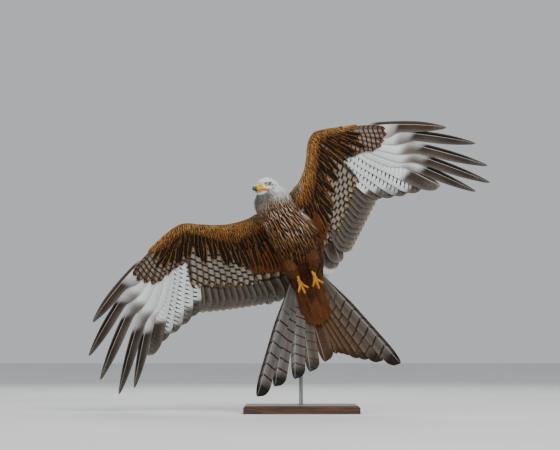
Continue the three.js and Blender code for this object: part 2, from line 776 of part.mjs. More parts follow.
function place(group, name, solid, material) {
  const mesh = new THREE.Mesh(geometryOf(largest(solid)), material);
  mesh.name = name;
  group.add(mesh);
}

const torso = trunk(TORSO, 18, 16);
const torsoRoom = trunk(TORSO, 18, 16, GAP);
const neckRoom = trunk(NECK, 16, 4, GAP);
const tailRoom = tailBase(GAP);
const headForm = join([headLoft(SKULL, 16), brow(1), brow(-1), lids(1), lids(-1)]);
const headRoom = headLoft(SKULL, 16, GAP);
const sockets = [1, -1].map((side) => ball(eyeCentre(side), EYE.radius + GAP));
const upperRoom = billForm(true, GAP);
const billRooms = [upperRoom, billForm(false, GAP)];

place(bird, "torso", torso, MATERIALS.rufous);
place(bird, "neck", cut(trunk(NECK, 16, 4), [torsoRoom, headRoom, cere(GAP)]), MATERIALS.streaked);
place(bird, "head", cut(headForm, [...sockets, cere(GAP), ...billRooms]), MATERIALS.pale);
place(bird, "cere", cut(cere(), billRooms), MATERIALS.cere);
place(bird, "bill_upper", billForm(true), MATERIALS.bill);
place(bird, "bill_lower", cut(billForm(false), [upperRoom]), MATERIALS.bill);
for (const [name, side] of [["left", 1], ["right", -1]]) {
  place(bird, "eye_" + name, ball(eyeCentre(side), EYE.radius), MATERIALS.eye);
}

for (const wing of WINGS) {
  const feathers = flightFeathers(wing);
  const [under, upper] = [COVERTS.under, COVERTS.upper].map((layer) => coverts(wing, feathers, layer));
  const layered = [...feathers, ...under, ...upper];
  const handFeathers = layered.filter((f) => f.kind === "primary");
  const armFeathers = layered.filter((f) => f.kind !== "primary");
  const plane = wristPlane(wing, feathers);
  const flesh = wingFlesh(wing);
  const laid = (list) => list.map((f) => wingVane(wing, f));
  // Each side's flesh makes room for the quills that lean over from the other side of the wrist
  const rooms = (list) => list.filter((f) => nearPlane(f, wing, plane)).map((f) => wingVane(wing, f, GAP));
  const handFlesh = cut(beyond(flesh, plane), rooms(armFeathers));
  const armFlesh = cut(within(flesh, plane), rooms(handFeathers));
  const hand = join([handFlesh, ...laid(handFeathers), ...laid(alula(wing))]);
  const arm = join([armFlesh, ...laid(armFeathers), ...laid(axillaries(wing))]);
  place(bird, "wing_" + wing.name + "_hand", hand, MATERIALS.flight);
  place(bird, "wing_" + wing.name + "_arm", cut(arm, [torsoRoom, neckRoom, tailRoom]), MATERIALS.rufous);
}

const underCoverts = tailCoverts(TAIL_COVERTS.under, -20, 3);
const upperCoverts = tailCoverts(TAIL_COVERTS.upper, 4, -1);
const tailVanes = [...tailFeathers(), ...underCoverts, ...upperCoverts].map(tailVane);
const tail = join([tailBase(), ...tailVanes]);
place(bird, "tail", cut(tail, [torsoRoom]), MATERIALS.tail);

for (const leg of LEGS) {
  place(bird, "thigh_" + leg.name, cut(thigh(leg), [torsoRoom]), MATERIALS.rufous);
  const feet = foot(leg);
  const footRoom = foot(leg, GAP);
  const thighRoom = thigh(leg, GAP);
  place(bird, "foot_" + leg.name, cut(feet, [torsoRoom, thighRoom]), MATERIALS.cere);
  toeLines(leg).forEach((line, k) => {
    const talon = cut(claw(line), [footRoom, torsoRoom, thighRoom]);
    place(bird, "claw_" + leg.name + "_" + (k + 1), talon, MATERIALS.claw);
  });
}

const torsoInPlace = torsoRoom.transform(birdPlace.elements);
place(model, "stand_base", baseBoard(), MATERIALS.wood);
place(model, "stand_rod", cut(rod(), [torsoInPlace]), MATERIALS.steel);

export default model;
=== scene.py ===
import math

import bpy
import numpy as np
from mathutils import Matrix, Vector

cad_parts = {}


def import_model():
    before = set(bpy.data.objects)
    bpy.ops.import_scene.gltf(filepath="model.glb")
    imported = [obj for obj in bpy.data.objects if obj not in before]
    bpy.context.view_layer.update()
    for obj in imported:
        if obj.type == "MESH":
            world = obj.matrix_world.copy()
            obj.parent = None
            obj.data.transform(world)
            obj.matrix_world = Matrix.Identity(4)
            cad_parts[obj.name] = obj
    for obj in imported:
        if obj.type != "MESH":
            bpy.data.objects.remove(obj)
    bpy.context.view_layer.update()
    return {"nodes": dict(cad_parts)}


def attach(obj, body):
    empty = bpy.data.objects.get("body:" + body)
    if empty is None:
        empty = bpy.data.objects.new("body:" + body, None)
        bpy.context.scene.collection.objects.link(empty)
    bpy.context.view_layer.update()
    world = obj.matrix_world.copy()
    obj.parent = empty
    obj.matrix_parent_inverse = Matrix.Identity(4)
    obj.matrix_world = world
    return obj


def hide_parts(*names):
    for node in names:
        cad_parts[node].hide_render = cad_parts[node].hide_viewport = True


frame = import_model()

random = np.random.default_rng(11)

# The bird's place over the stand, and its lean and rear
BIRD_AT = np.array([-12.0, -45.0, 468.0])
LEAN, REAR = math.radians(23.6), math.radians(5)

# Metres in a millimetre, a full turn, and the turn that the patterns and maps take
MM = 0.001
TAU = 2 * math.pi
ROUND = 6.283

# The body from the top of the neck to the rump: ahead, centre right, centre up, half width, half depth
BODY = [
    (180, 11.5, -7, 27.5, 25), (164, 14.5, -6, 40, 34), (146, 16, -3, 48, 39), (124, 15.5, 1, 52.5, 44),
    (106, 13, 2, 55, 47), (75, 6, 0, 60, 54), (35, 0, -2, 63, 58), (-10, 1, -2, 61, 55),
    (-55, 5, 1, 56, 47), (-95, 11, 5, 48, 37), (-130, 16, 9, 38, 26), (-158, 19, 12, 24, 15),
]
# The head: ahead, centre up, half width, half height
HEAD_AT = np.array([16.0, 180.0, -11.0])
BILL_WAY = np.array([0.522, 0.359, -0.773])
CROWN_WAY = np.array([-0.325, 0.922, 0.209])
SKULL = [
    (-46, -6, 15, 16), (-38, -4, 21, 23), (-24, -1, 25, 28), (-8, 1, 26.5, 29),
    (6, 1, 26, 28), (17, -0.5, 23, 24), (26, -3, 18, 18.5), (33, -5, 12.5, 13),
]
EYE = dict(radius=7, ahead=14, up=5, out=18)
BILL = dict(root=35, length=26, half_width=7.2, half_height=7.6, hook=11, chin=-10.5)
# The cere: ahead, centre up, half width, half height. The mouth, brow and nostril: ahead, up, out.
CERE = [
    (24, -3.5, 15.5, 14.6), (30, -3.6, 12.4, 12.0), (36, -4.0, 9.8, 9.8),
    (41, -4.6, 8.2, 8.4), (44, -5.2, 7.0, 7.2),
]
MOUTH = [(36, -8.6, 8.6), (29, -9.0, 13.4), (22, -9.6, 17.6), (12, -11.0, 22.4), (2, -12.6, 24.2)]
BROW = [(28, 3.6, 12.4), (20, 9.4, 19.6), (10, 12.1, 23.2), (-2, 12.0, 23.4)]
BROW_RADII = (1.0, 2.4, 2.4, 0.9)
SLIT = [(34.4, -1.6, 9.9), (36.4, -0.5, 9.3), (38.4, 0.6, 8.2)]

# The wings: plan places are distances out from the middle line and ahead
WINGS = [
    dict(name="right", sign=1, shoulder=(50, 86), elbow=(165, 87), wrist=(270, 172), hand_tip=(368, 150),
         front=[(50, 128), (110, 126), (168, 138), (230, 166),
                (262, 183), (290, 187), (335, 177), (392, 153)],
         primaries=(70.8, 66.5, 62.1, 57.6, 54.8, 53, 49, 41.4, 33.3, 25.3),
         secondaries=(92, 72), tertials=(95, 91)),
    dict(name="left", sign=-1, shoulder=(50, 86), elbow=(105, 125), wrist=(172, 256), hand_tip=(266, 241),
         front=[(34, 141), (78, 166), (110, 198), (138, 246), (152, 264), (176, 272), (230, 263), (288, 243)],
         primaries=(64.5, 61.5, 57.8, 53.5, 49, 45.8, 41.6, 36.5, 29, 22.2),
         secondaries=(82, 68), tertials=(97, 88)),
]
PRIMARY_LENGTHS = (253, 269, 287, 308, 344, 437, 459, 430, 375, 279)
FIRST_FINGER = 5
# How far out the white of each primary's underside reaches, as a share of its length
WHITE_ENDS = (0.84, 0.86, 0.87, 0.88, 0.72, 0.57, 0.5, 0.46, 0.45, 0.45)
NOTCH = 0.46
SHINGLE = (6.5, 5.5)
TRAILING_FLESH = 24
EDGE_HALF = 7
ALULA_LENGTHS = (104, 86, 64)
# The greater coverts: share of an arm feather and of a primary, heights at root and tip, half width
GREAT_UNDER, GREAT_OVER = (0.72, 0.15, -5.0, -6.4, 15.5), (0.5, 0.1, 4.5, 4.5, 16.5)
GREAT_ON_HAND = 66

# The tail, and its coverts in rows: count, length, level, sink, half width, distance down
TAIL_AT = np.array([17.0, -92.0, 14.0])
TAIL_DROP = math.radians(15)
TAIL_LENGTHS = (246, 257, 275, 290, 313, 348)
TAIL_SIDES = [(1, (0, 6.8, 15.6, 23.4, 32.8, 39.1), 0.955), (-1, (6, 7, 8.4, 10.4, 13.2, 17.6), 1.003)]
TAIL_SPACING = 7.6
TAIL_COVERTS = [
    (11, 128, -20.4, 3.0, 9.0, 22), (12, 110, -21.6, 3.0, 8.0, 16), (11, 92, -22.6, 2.6, 7.5, 10),
    (10, 74, -23.4, 2.2, 7.0, 4), (11, 98, 5.0, -1.0, 9.0, 18), (10, 76, 6.4, -1.0, 8.0, 10),
]

# The legs, and the toes of each: degrees, share of the longest, height of the tip, claw's length
LEGS = [
    dict(name="right", sign=1, hip=(40, -28, -22), heel=(36, -82, -41), foot=(34, -100, -51)),
    dict(name="left", sign=-1, hip=(-22, -28, -22), heel=(-12, -82, -41), foot=(-9, -103, -51)),
]
TOES = [(-34, 0.82, 6, 15), (2, 1, 6, 15), (38, 0.78, 6, 15), (178, 0.66, -5, 9)]
LONGEST_TOE = 34

# How thick the small feathers lie over the skin, and the grain of the skin's mesh in metres
COAT = 4.0
SKIN_GRAIN = 0.0028

# Frames

X, Y, Z = np.eye(3)
RISE = np.array([0, -math.sin(REAR), math.cos(REAR)])
BIRD_X = -math.cos(LEAN) * X - math.sin(LEAN) * RISE
BIRD_Y = -math.sin(LEAN) * X + math.cos(LEAN) * RISE
TO_WORLD = np.array([BIRD_X, BIRD_Y, np.cross(BIRD_X, BIRD_Y)])
TAIL_WAY = np.array([0, -math.cos(TAIL_DROP), -math.sin(TAIL_DROP)])
TAIL_BACK = np.array([0, -math.sin(TAIL_DROP), math.cos(TAIL_DROP)])


def world(points):
    return (np.asarray(points) @ TO_WORLD + BIRD_AT) * MM


def unit(v):
    return v / np.maximum(np.linalg.norm(v, axis=-1, keepdims=True), 1e-9)


def mix(a, b, t):
    return a + (b - a) * t


def blend(a, b, share):
    """A mix of colours or places, with its own share at each."""
    return a + (b - a) * np.asarray(share)[..., None]


def between(a, b, t):
    return mix(np.array(a, float), np.array(b, float), t)

def ease(x, low, high):
    t = np.clip((x - low) / (high - low), 0, 1)
    return t * t * (3 - 2 * t)


def smooth(rows, at):
    """Values of a table's columns at places of its first column, on a soft curve through the rows."""
    rows = np.array(sorted(rows), float)
    keys = rows[:, 0]
    slopes = np.gradient(rows[:, 1:], keys, axis=0)
    at = np.clip(at, keys[0], keys[-1])
    k = np.clip(np.searchsorted(keys, at) - 1, 0, len(keys) - 2)
    gap = keys[k + 1] - keys[k]
    t = ((at - keys[k]) / gap)[..., None]
    gap = gap[..., None]
    a, b = rows[k, 1:], rows[k + 1, 1:]
    return (a * (2 * t**3 - 3 * t**2 + 1) + b * (3 * t**2 - 2 * t**3)
            + gap * slopes[k] * (t**3 - 2 * t**2 + t) + gap * slopes[k + 1] * (t**3 - t**2))


def columns_of(rows, at):
    """The same values, one array for each column."""
    return np.moveaxis(smooth(rows, at), -1, 0)


def curve(points, t, tension=0.5):
    """A soft curve through points, read at t from 0 to 1."""
    points = np.array(points, float)
    pts = np.vstack([2 * points[0] - points[1], points, 2 * points[-1] - points[-2]])
    x = np.clip(np.asarray(t, float), 0, 1) * (len(points) - 1)
    k = np.minimum(x.astype(int), len(points) - 2)
    f = (x - k)[..., None]
    p0, p1, p2, p3 = pts[k], pts[k + 1], pts[k + 2], pts[k + 3]
    m1, m2 = (p2 - p0) * tension, (p3 - p1) * tension
    return p1 + m1 * f + (3 * (p2 - p1) - 2 * m1 - m2) * f**2 + (2 * (p1 - p2) + m1 + m2) * f**3


def noise(points, scale, seed):
    """Soft noise from -1 to 1, from a few seeded waves."""
    waves = np.random.default_rng(seed)
    total = 0
    for _ in range(6):
        way = unit(waves.normal(size=3)) * waves.uniform(0.6, 1.6) / scale
        total = total + np.sin(np.asarray(points) @ way * ROUND + waves.uniform(0, ROUND))
    return total / 4.2
def cloud(points, scale, seed):
    """Soft patches from 0 to 1."""
    return 0.5 + 0.5 * noise(points, scale, seed)


def along_surface(way, up):
    """A way brought down onto the surface whose outward side is up."""
    return unit(way - up * np.sum(way * up, -1, keepdims=True))

# The head's frame

HEAD_AHEAD = unit(BILL_WAY)
HEAD_UP = unit(CROWN_WAY - HEAD_AHEAD * (CROWN_WAY @ HEAD_AHEAD))
HEAD_LEFT = np.cross(HEAD_UP, HEAD_AHEAD)


def on_head(a, b, c):
    a, b, c = (np.asarray(x, float)[..., None] for x in (a, b, c))
    return HEAD_AT + a * HEAD_AHEAD + b * HEAD_UP + c * HEAD_LEFT


def on_tail(across, down, off):
    across, down, off = np.broadcast_arrays(across, down, off)
    return TAIL_AT + down[..., None] * TAIL_WAY + off[..., None] * TAIL_BACK + across[..., None] * X


# Surfaces: each form takes two arrays of places on it and gives points in the bird's frame

def body_form(inset):
    def point(y, turn):
        x, z, w, h = columns_of(BODY, y)
        return np.stack([x + (w - inset) * np.sin(turn), y + 0 * turn, z - (h - inset) * np.cos(turn)], -1)
    return point


def head_form(inset):
    def point(a, turn):
        b, w, h = columns_of(SKULL, a)
        return on_head(a + 0 * turn, b + (h - inset) * np.cos(turn), (w - inset) * np.sin(turn))
    return point


def tail_form(a, turn):
    s = (a + 20) / 86
    round_end = np.sqrt(np.maximum(0.05, 1 - np.maximum(0, (s - 0.75) / 0.25) ** 2))
    wide = mix(30, 40, s) * mix(1, round_end, 0.5) - COAT * 0.5
    deep = mix(17, 13, s) * round_end - COAT * 0.5
    return on_tail(wide * np.sin(turn), a + 0 * turn, -6 + deep * np.cos(turn))


def thigh_form(leg, inset):
    hip, heel = np.array(leg["hip"], float), np.array(leg["heel"], float)
    line = [hip, (hip + heel) / 2 + np.array([leg["sign"] * 4, 0, -6]), heel]

    def point(a, turn):
        way = unit(curve(line, np.clip(a + 0.03, 0, 1)) - curve(line, np.clip(a - 0.03, 0, 1)))
        across = unit(np.cross(way, np.array([0.0, 0.3, 1.0])))
        r = (np.interp(a, (0, 0.5, 0.85, 1), (24, 21, 13, 9.5)) - inset)[..., None]
        return (curve(line, a) + across * r * np.sin(turn)[..., None]
                + np.cross(across, way) * r * np.cos(turn)[..., None])
    return point


def wing_height(wing, out, ahead):
    wrist_out, wrist_ahead = wing["wrist"]
    past = np.hypot(out - wrist_out, ahead - wrist_ahead)
    bent = np.maximum(0, (past - 150) / 300) ** 2 * ease(out, wrist_out, wrist_out + 90)
    return 22 + 26 * ease(out, 50, 280) + 0.05 * (ahead - 100) + 34 * bent


def wing_plan(wing, s, v):
    """Plan place on the fleshy wing: s from its front edge to behind the bones, v from the body out."""
    inner = between(wing["shoulder"], wing["elbow"], -0.2)
    bones = [inner] + [wing[joint] for joint in ("shoulder", "elbow", "wrist", "hand_tip")]
    bone = curve(bones, mix(0.22, 1, v), 0.2)
    lead = curve(wing["front"], v)
    return blend(lead, bone - unit(lead - bone) * TRAILING_FLESH, s)


def wing_fat(s, v):
    fat = mix(mix(15, 8, v), EDGE_HALF, ease(s, 0.15, 1))
    return fat * np.sqrt(np.maximum(0.04, 1 - (1 - np.minimum(1, s / 0.22)) ** 2))


def wing_place(wing, plan, height):
    out, ahead = plan[..., 0], plan[..., 1]
    return np.stack([wing["sign"] * out, ahead, wing_height(wing, out, ahead) + height], -1)

# Meshes

def flat(rows):
    return np.concatenate(rows).astype(np.float32).ravel()


class Pile:
    """Many like pieces gathered into one mesh, with what the materials read on each point."""

    def __init__(self):
        self.points, self.faces, self.uv, self.bake, self.count = [], [], [], [], 0
        self.read = {name: [] for name in ("Base", "Edge", "Mark", "Form", "Bars")}

    def add(self, points, faces, uv=(0, 0), bake=(0, 0), **read):
        n = len(points)
        self.points.append(points)
        self.faces.extend(f + self.count for f in faces)
        self.uv.append(np.broadcast_to(uv, (n, 2)))
        self.bake.append(np.broadcast_to(bake, (n, 2)))
        for name, rows in self.read.items():
            rows.append(np.broadcast_to(np.asarray(read.get(name, (0, 0, 0)), float), (n, 3)))
        self.count += n
        return self

    def build(self, name, material, slot, replaces=(), baked=True):
        mesh = bpy.data.meshes.new(name)
        mesh.vertices.add(self.count)
        mesh.vertices.foreach_set("co", flat([world(np.concatenate(self.points))]))
        loops = np.concatenate([f.ravel() for f in self.faces]).astype(np.int32)
        sizes = np.concatenate([np.full(len(f), f.shape[1]) for f in self.faces])
        mesh.loops.add(len(loops))
        mesh.loops.foreach_set("vertex_index", loops)
        mesh.polygons.add(len(sizes))
        mesh.polygons.foreach_set("loop_start", (np.cumsum(sizes) - sizes).astype(np.int32))
        mesh.polygons.foreach_set("use_smooth", np.ones(len(sizes), bool))
        mesh.update(calc_edges=True)
        for layer, rows in [("Vane", self.uv)] + ([("OFBake", self.bake)] if baked else []):
            mesh.uv_layers.new(name=layer).data.foreach_set("uv", flat([np.concatenate(rows)[loops]]))
        for layer, rows in self.read.items():
            mesh.attributes.new(layer, "FLOAT_VECTOR", "POINT").data.foreach_set("vector", flat(rows))
        mesh.materials.append(material)
        piece = bpy.data.objects.new(name, mesh)
        bpy.context.scene.collection.objects.link(piece)
        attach(piece, "root")
        if replaces:
            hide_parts(*replaces)


def grid_faces(rows, columns, closed=False):
    """Quads between the points of a grid, row after row; closed joins each row's ends."""
    r, c = np.meshgrid(np.arange(rows - 1), np.arange(columns if closed else columns - 1), indexing="ij")
    nxt = (c + 1) % columns
    corners = [r * columns + c, r * columns + nxt, (r + 1) * columns + nxt, (r + 1) * columns + c]
    return np.stack(corners, -1).reshape(-1, 4)


def closed_form(rings, ends):
    """A round form through rings of points, closed at each end over a middle point."""
    rows, sides = rings.shape[:2]
    k = np.arange(sides)
    j = (k + 1) % sides
    last, middle = (rows - 1) * sides, rows * sides
    caps = [np.stack([j, k, 0 * k + middle], -1), np.stack([k + last, j + last, 0 * k + middle + 1], -1)]
    return np.concatenate([rings.reshape(-1, 3), ends]), [grid_faces(rows, sides, True), np.concatenate(caps)]


def tube(centres, across, upward, sides):
    """A closed round form through oval stations, with its map."""
    turn = np.linspace(0, TAU, sides, endpoint=False)[None, :, None]
    rings = centres[:, None] + across[:, None] * np.sin(turn) + upward[:, None] * np.cos(turn)
    v, u = np.meshgrid(np.linspace(0, 1, len(centres)), np.linspace(0, 1, sides), indexing="ij")
    uv = np.concatenate([np.stack([u, v], -1).reshape(-1, 2), [[0.5, 0], [0.5, 1]]])
    return *closed_form(rings, centres[[0, -1]]), uv


def limb(points, radii, sides, steps, wide=1.0, high=1.0, swell=1.0):
    """A round rod through points, with its radius read along it."""
    t = np.linspace(0, 1, steps)
    centres = curve(points, t)
    way = unit(np.gradient(centres, axis=0))
    across = unit(np.cross(way, np.array([0.02, 0.03, 1.0])))
    r = (np.interp(t, np.linspace(0, 1, len(radii)), radii) * swell)[:, None]
    return tube(centres, across * r * wide, np.cross(across, way) * r * high, sides)


def grid(point, along, turns, steps):
    """A closed round form from a surface."""
    a, t = np.meshgrid(np.linspace(*along, steps), np.linspace(0, TAU, turns, endpoint=False), indexing="ij")
    rings = point(a, t)
    return closed_form(rings, [rings[0].mean(0), rings[-1].mean(0)])


# Colours

def tint(code):
    """A colour from its six hex digits, as light."""
    c = np.array([int(code[k : k + 2], 16) for k in (0, 2, 4)]) / 255
    return np.where(c > 0.04045, ((c + 0.055) / 1.055) ** 2.4, c / 12.92)


WHITE, PALE, GREY = tint("f2f4f2"), tint("c4bdb1"), tint("6c6661")
BUFF, GOLD, ORANGE = tint("c9a670"), tint("a56e2c"), tint("87481a")
RUFOUS, RUSSET, UMBER = tint("5a3417"), tint("3a2211"), tint("24170f")
DUSK, BLACK = tint("433831"), tint("090706")
LEADING, TRAILING = tint("17130f"), tint("40362f")


def body_colours(points, above):
    """Colours of the small feathers of neck and trunk: base, edge, mark and the width of the streak."""
    y = points[:, 1]
    patch = cloud(points, 45, 3)
    light = cloud(points, 26, 5) ** 2
    chance = random.random(len(points))
    light = np.maximum(light, ease(chance, 0.72, 0.85))
    belly = blend(mix(RUFOUS, ORANGE, 0.3), RUSSET, 0.3 + 0.7 * patch)
    vent = blend(mix(RUFOUS, ORANGE, 0.15), RUSSET, 0.2 + 0.5 * patch * chance)
    breast = blend(mix(GOLD, BUFF, 0.1), mix(ORANGE, RUFOUS, 0.5), patch)
    # Fewer pale feathers on the bird's right side of the breast: painted shade on that side. Fewer again
    # toward the belly.
    light = light * mix(0.55, 1, ease(-points[:, 0], -35, 25)) * mix(0.25, 1, ease(y, 35, 92))
    breast = blend(breast, mix(BUFF, WHITE, 0.6), 0.95 * light * ease(y, 20, 80))
    neck = blend(mix(BUFF, GOLD, 0.5), mix(PALE, WHITE, 0.4), 0.3 + 0.7 * light)
    under = blend(vent, belly, ease(y, -95, -40))
    under = blend(under, breast, ease(y, -8, 66))
    under = blend(under, neck, ease(y, 105, 150))
    back = blend(UMBER, mix(RUSSET, BLACK, 0.3), 0.4 * patch)
    back = blend(back, mix(BUFF, GREY, 0.35), ease(y, 120, 165))
    base = blend(under, back, above)
    rim = blend(mix(GOLD, ORANGE, 0.1), mix(BUFF, WHITE, 0.3), 0.85 * light)
    edge = blend(base, rim, 0.75 * ease(y, -45, 55))
    edge = blend(edge, mix(RUFOUS, GOLD, 0.45), above)
    mark = blend(BLACK, mix(UMBER, BLACK, 0.6), ease(-y, 0, 90))
    streak = mix(0.44, 0.7, ease(y, -60, 30)) * mix(1, 0.85, ease(y, 130, 170))
    streak = streak * ease(y, -112, -70) * (0.85 + 0.3 * patch)
    return base, edge, mark, mix(streak, 0.35, above)


def head_colours(a, turn):
    """The pale head: white crown and cheeks, a grey streaked nape, and a grey streaked throat whose grey
    underside is partly its own colour and partly painted shade under the head.
    """
    throat_grey_and_shade = ease(-np.cos(turn), 0.3, 0.95) * ease(-a, -28, -2)
    nape = ease(-a, 12, 46)
    chance = random.random(len(a))
    grey = blend(mix(GREY, DUSK, 0.4), mix(PALE, GREY, 0.6), chance)
    # The underside of the head is greyed: partly the throat's own grey streaks, partly painted shade under
    # the head.
    base = blend(WHITE, grey, throat_grey_and_shade * 0.92)
    base = blend(base, blend(WHITE, GREY, 0.15 + 0.5 * chance), nape * (1 - throat_grey_and_shade) * 0.5)
    edge = blend(base, WHITE, 0.45 * (1 - 0.85 * throat_grey_and_shade))
    return base, edge, mix(GREY, BLACK, 0.4) + 0 * base, 0.1 + 0.2 * nape + 0.25 * throat_grey_and_shade


def wing_colours(plan_out, s, v, above):
    """Colours of the wing's small feathers: s from the front edge back, v from the body out."""
    at = np.stack([plan_out, s * 90, v * 200], -1)
    patch = cloud(at, 50, 8)
    light = np.maximum(cloud(at, 24, 9) ** 2, ease(random.random(len(s)), 0.8, 0.9))
    front = blend(mix(GOLD, BUFF, 0.15), mix(RUFOUS, ORANGE, 0.6), 0.85 * patch * ease(s, 0.05, 0.4))
    # Buff toward the very front edge, in the pale patches: partly the pale front feathers, partly painted rim
    # light along the leading edge.
    front = blend(front, BUFF, 0.8 * light * ease(-s, -0.4, 0))
    band = blend(mix(BLACK, UMBER, 0.5), RUSSET, 0.5 * patch)
    under = blend(front, band, ease(s + 0.12 * ease(v, 0.55, 0.75), 0.45, 0.7))
    over = blend(mix(RUSSET, UMBER, 0.45), mix(UMBER, GOLD, 0.3), ease(s, 0.2, 0.7) * patch)
    base = blend(under, over, above)
    edge = blend(base, blend(ORANGE, GOLD, 0.2 + 0.8 * light), mix(0.6, 0.5, ease(s, 0.5, 0.85)))
    edge = blend(edge, mix(GOLD, BUFF, 0.3), 0.35 * above)
    return base, edge, BLACK, mix(mix(0.5, 0.66, ease(s, 0.35, 0.7)), 0.55, above)


# Materials

class Paint:
    """A material's nodes, written as short sums."""

    def __init__(self, name):
        self.material = bpy.data.materials.new(name)
        self.material.use_nodes = True
        self.tree = self.material.node_tree
        self.shader = self.tree.nodes["Principled BSDF"]

    def join(self, value, socket):
        if isinstance(value, bpy.types.NodeSocket):
            self.tree.links.new(value, socket)
        elif np.ndim(value):
            socket.default_value = tuple(value) + (1,) * (len(socket.default_value) - len(value))
        else:
            socket.default_value = value

    def join_all(self, sockets, values):
        for key, value in values.items():
            self.join(value, sockets[key])

    def node(self, kind, *inputs, **settings):
        made = self.tree.nodes.new("ShaderNode" + kind)
        for key, value in settings.items():
            setattr(made, key, value)
        self.join_all(made.inputs, dict(enumerate(inputs)))
        return made

    def sum(self, operation, *inputs):
        return self.node("Math", *inputs, operation=operation).outputs[0]

    def add(self, a, b):
        return self.sum("ADD", a, b)

    def sub(self, a, b):
        return self.sum("SUBTRACT", a, b)

    def mul(self, a, b):
        return self.sum("MULTIPLY", a, b)

    def mad(self, a, b, c):
        return self.sum("MULTIPLY_ADD", a, b, c)

    def rise(self, value, low, high, start=0.0, end=1.0):
        return self.node("MapRange", value, low, high, start, end, interpolation_type="SMOOTHSTEP").outputs[0]

    def blend(self, factor, a, b, way="MIX"):
        made = self.node("Mix", data_type="RGBA", blend_type=way)
        self.join_all(made.inputs, {0: factor, 6: a, 7: b})
        return made.outputs[2]

    def read(self, layer):
        return self.node("Attribute", attribute_name=layer).outputs["Vector"]

    def parts(self, vector):
        return self.node("SeparateXYZ", vector).outputs

    def vector(self, x, y, z):
        return self.node("CombineXYZ", x, y, z).outputs[0]

    def vane(self):
        return self.parts(self.node("UVMap", uv_map="Vane").outputs[0])

    def place(self):
        return self.node("TexCoord").outputs["Object"]

    def grain(self, place, scale, detail=3.0, rough=0.55):
        made = self.node("TexNoise", noise_dimensions="3D")
        self.join_all(made.inputs, {"Vector": place, "Scale": scale, "Detail": detail, "Roughness": rough})
        return made.outputs[0]

    def bump(self, height, strength, distance):
        made = self.node("Bump")
        self.join_all(made.inputs, {"Strength": strength, "Distance": distance, "Height": height})
        self.join(made.outputs[0], self.shader.inputs["Normal"])

    def done(self, colour, roughness, **others):
        named = {key.replace("_", " "): value for key, value in others.items()}
        self.join_all(self.shader.inputs, {"Base Color": colour, "Roughness": roughness, **named})
        return self.material


def feather_material(name, barbs, depth, narrow=0.6, vary=0.3):
    """A vane: its own colour, paler rims, a dark streak down it, bars across, fine slanting barbs, and a pale
    line down the shaft that is partly its own colour and partly a painted glint.
    """
    p = Paint(name)
    x, y, _ = p.vane()
    streak, seed, shaft_pale_and_glint_share = p.parts(p.read("Form"))
    count, strength, phase = p.parts(p.read("Bars"))
    off = p.sum("ABSOLUTE", p.mad(x, 2.0, -1.0))
    wander = p.sub(p.grain(p.place(), 170.0, 2.0), 0.5)
    slant = p.sum("SINE", p.mul(p.sub(y, p.mul(off, 0.12)), barbs))
    ragged = p.mad(wander, vary * 0.65, off)
    width = p.mul(streak, p.rise(y, 1.0, 0.78, 0.25, 1.0))
    line = p.mul(p.rise(ragged, width, p.mad(width, 0.7, -0.03)), p.rise(streak, 0.0, 0.08))
    rim = p.sum("MAXIMUM", p.rise(ragged, 0.5, 0.95), p.rise(p.mad(wander, 0.2, y), 0.8, 0.98))
    colour = p.blend(rim, p.read("Base"), p.read("Edge"))
    along = p.mad(wander, 0.016, p.mad(off, -0.04, y))
    wave = p.sum("SINE", p.add(p.mul(along, p.mul(count, ROUND)), phase))
    bars = p.mul(p.rise(wave, narrow, narrow + 0.13), strength)
    colour = p.blend(p.sum("MAXIMUM", line, bars), colour, p.read("Mark"))
    # A pale line down the shaft: partly the shaft's own pale colour, partly a painted glint, strongest on the
    # primaries' undersides.
    shaft_pale_and_glint = p.mul(p.rise(off, 0.05, 0.015), shaft_pale_and_glint_share)
    colour = p.blend(shaft_pale_and_glint, colour, (0.62, 0.55, 0.46))
    tone = p.add(p.mad(slant, 0.07, 1 - vary / 2),
                 p.mad(seed, vary, p.mul(wander, vary + 0.05)))
    colour = p.blend(1.0, colour, p.vector(tone, tone, tone), "MULTIPLY")
    p.bump(p.add(slant, p.mul(shaft_pale_and_glint, 3.0)), 0.5, depth)
    return p.done(colour, 0.66, Specular_IOR_Level=0.1)


def skin_material():
    """The close down under the feathers, in their colours."""
    p = Paint("down")
    place = p.place()
    fine = p.grain(place, 420.0, 4.0, 0.7)
    soft = p.grain(place, 60.0)
    deep = p.blend(0.45, p.read("Base"), (0.02, 0.014, 0.01))
    colour = p.blend(p.rise(fine, 0.35, 0.7), deep, p.read("Base"))
    colour = p.blend(p.rise(soft, 0.4, 0.75, 0.0, 0.3), colour, (0.1, 0.07, 0.045))
    p.bump(fine, 0.7, 0.0012)
    return p.done(colour, 0.85, Specular_IOR_Level=0.15)


def scaly_material(name, light, dark, scale, roughness, depth, seams=0.4):
    """Bare skin with small raised scales."""
    p = Paint(name)
    cells = p.node("TexVoronoi", feature="DISTANCE_TO_EDGE")
    p.join_all(cells.inputs, {"Vector": p.place(), "Scale": scale})
    seam = p.rise(cells.outputs[0], 0.0, 0.16)
    colour = p.blend(p.rise(p.grain(p.place(), 90.0), 0.3, 0.7), tint(dark), tint(light))
    colour = p.blend(seam, p.blend(seams, colour, (0.12, 0.06, 0.02)), colour)
    p.bump(seam, 0.7, depth)
    return p.done(colour, roughness, Specular_IOR_Level=0.4, Subsurface_Weight=0.08, Subsurface_Scale=0.004)


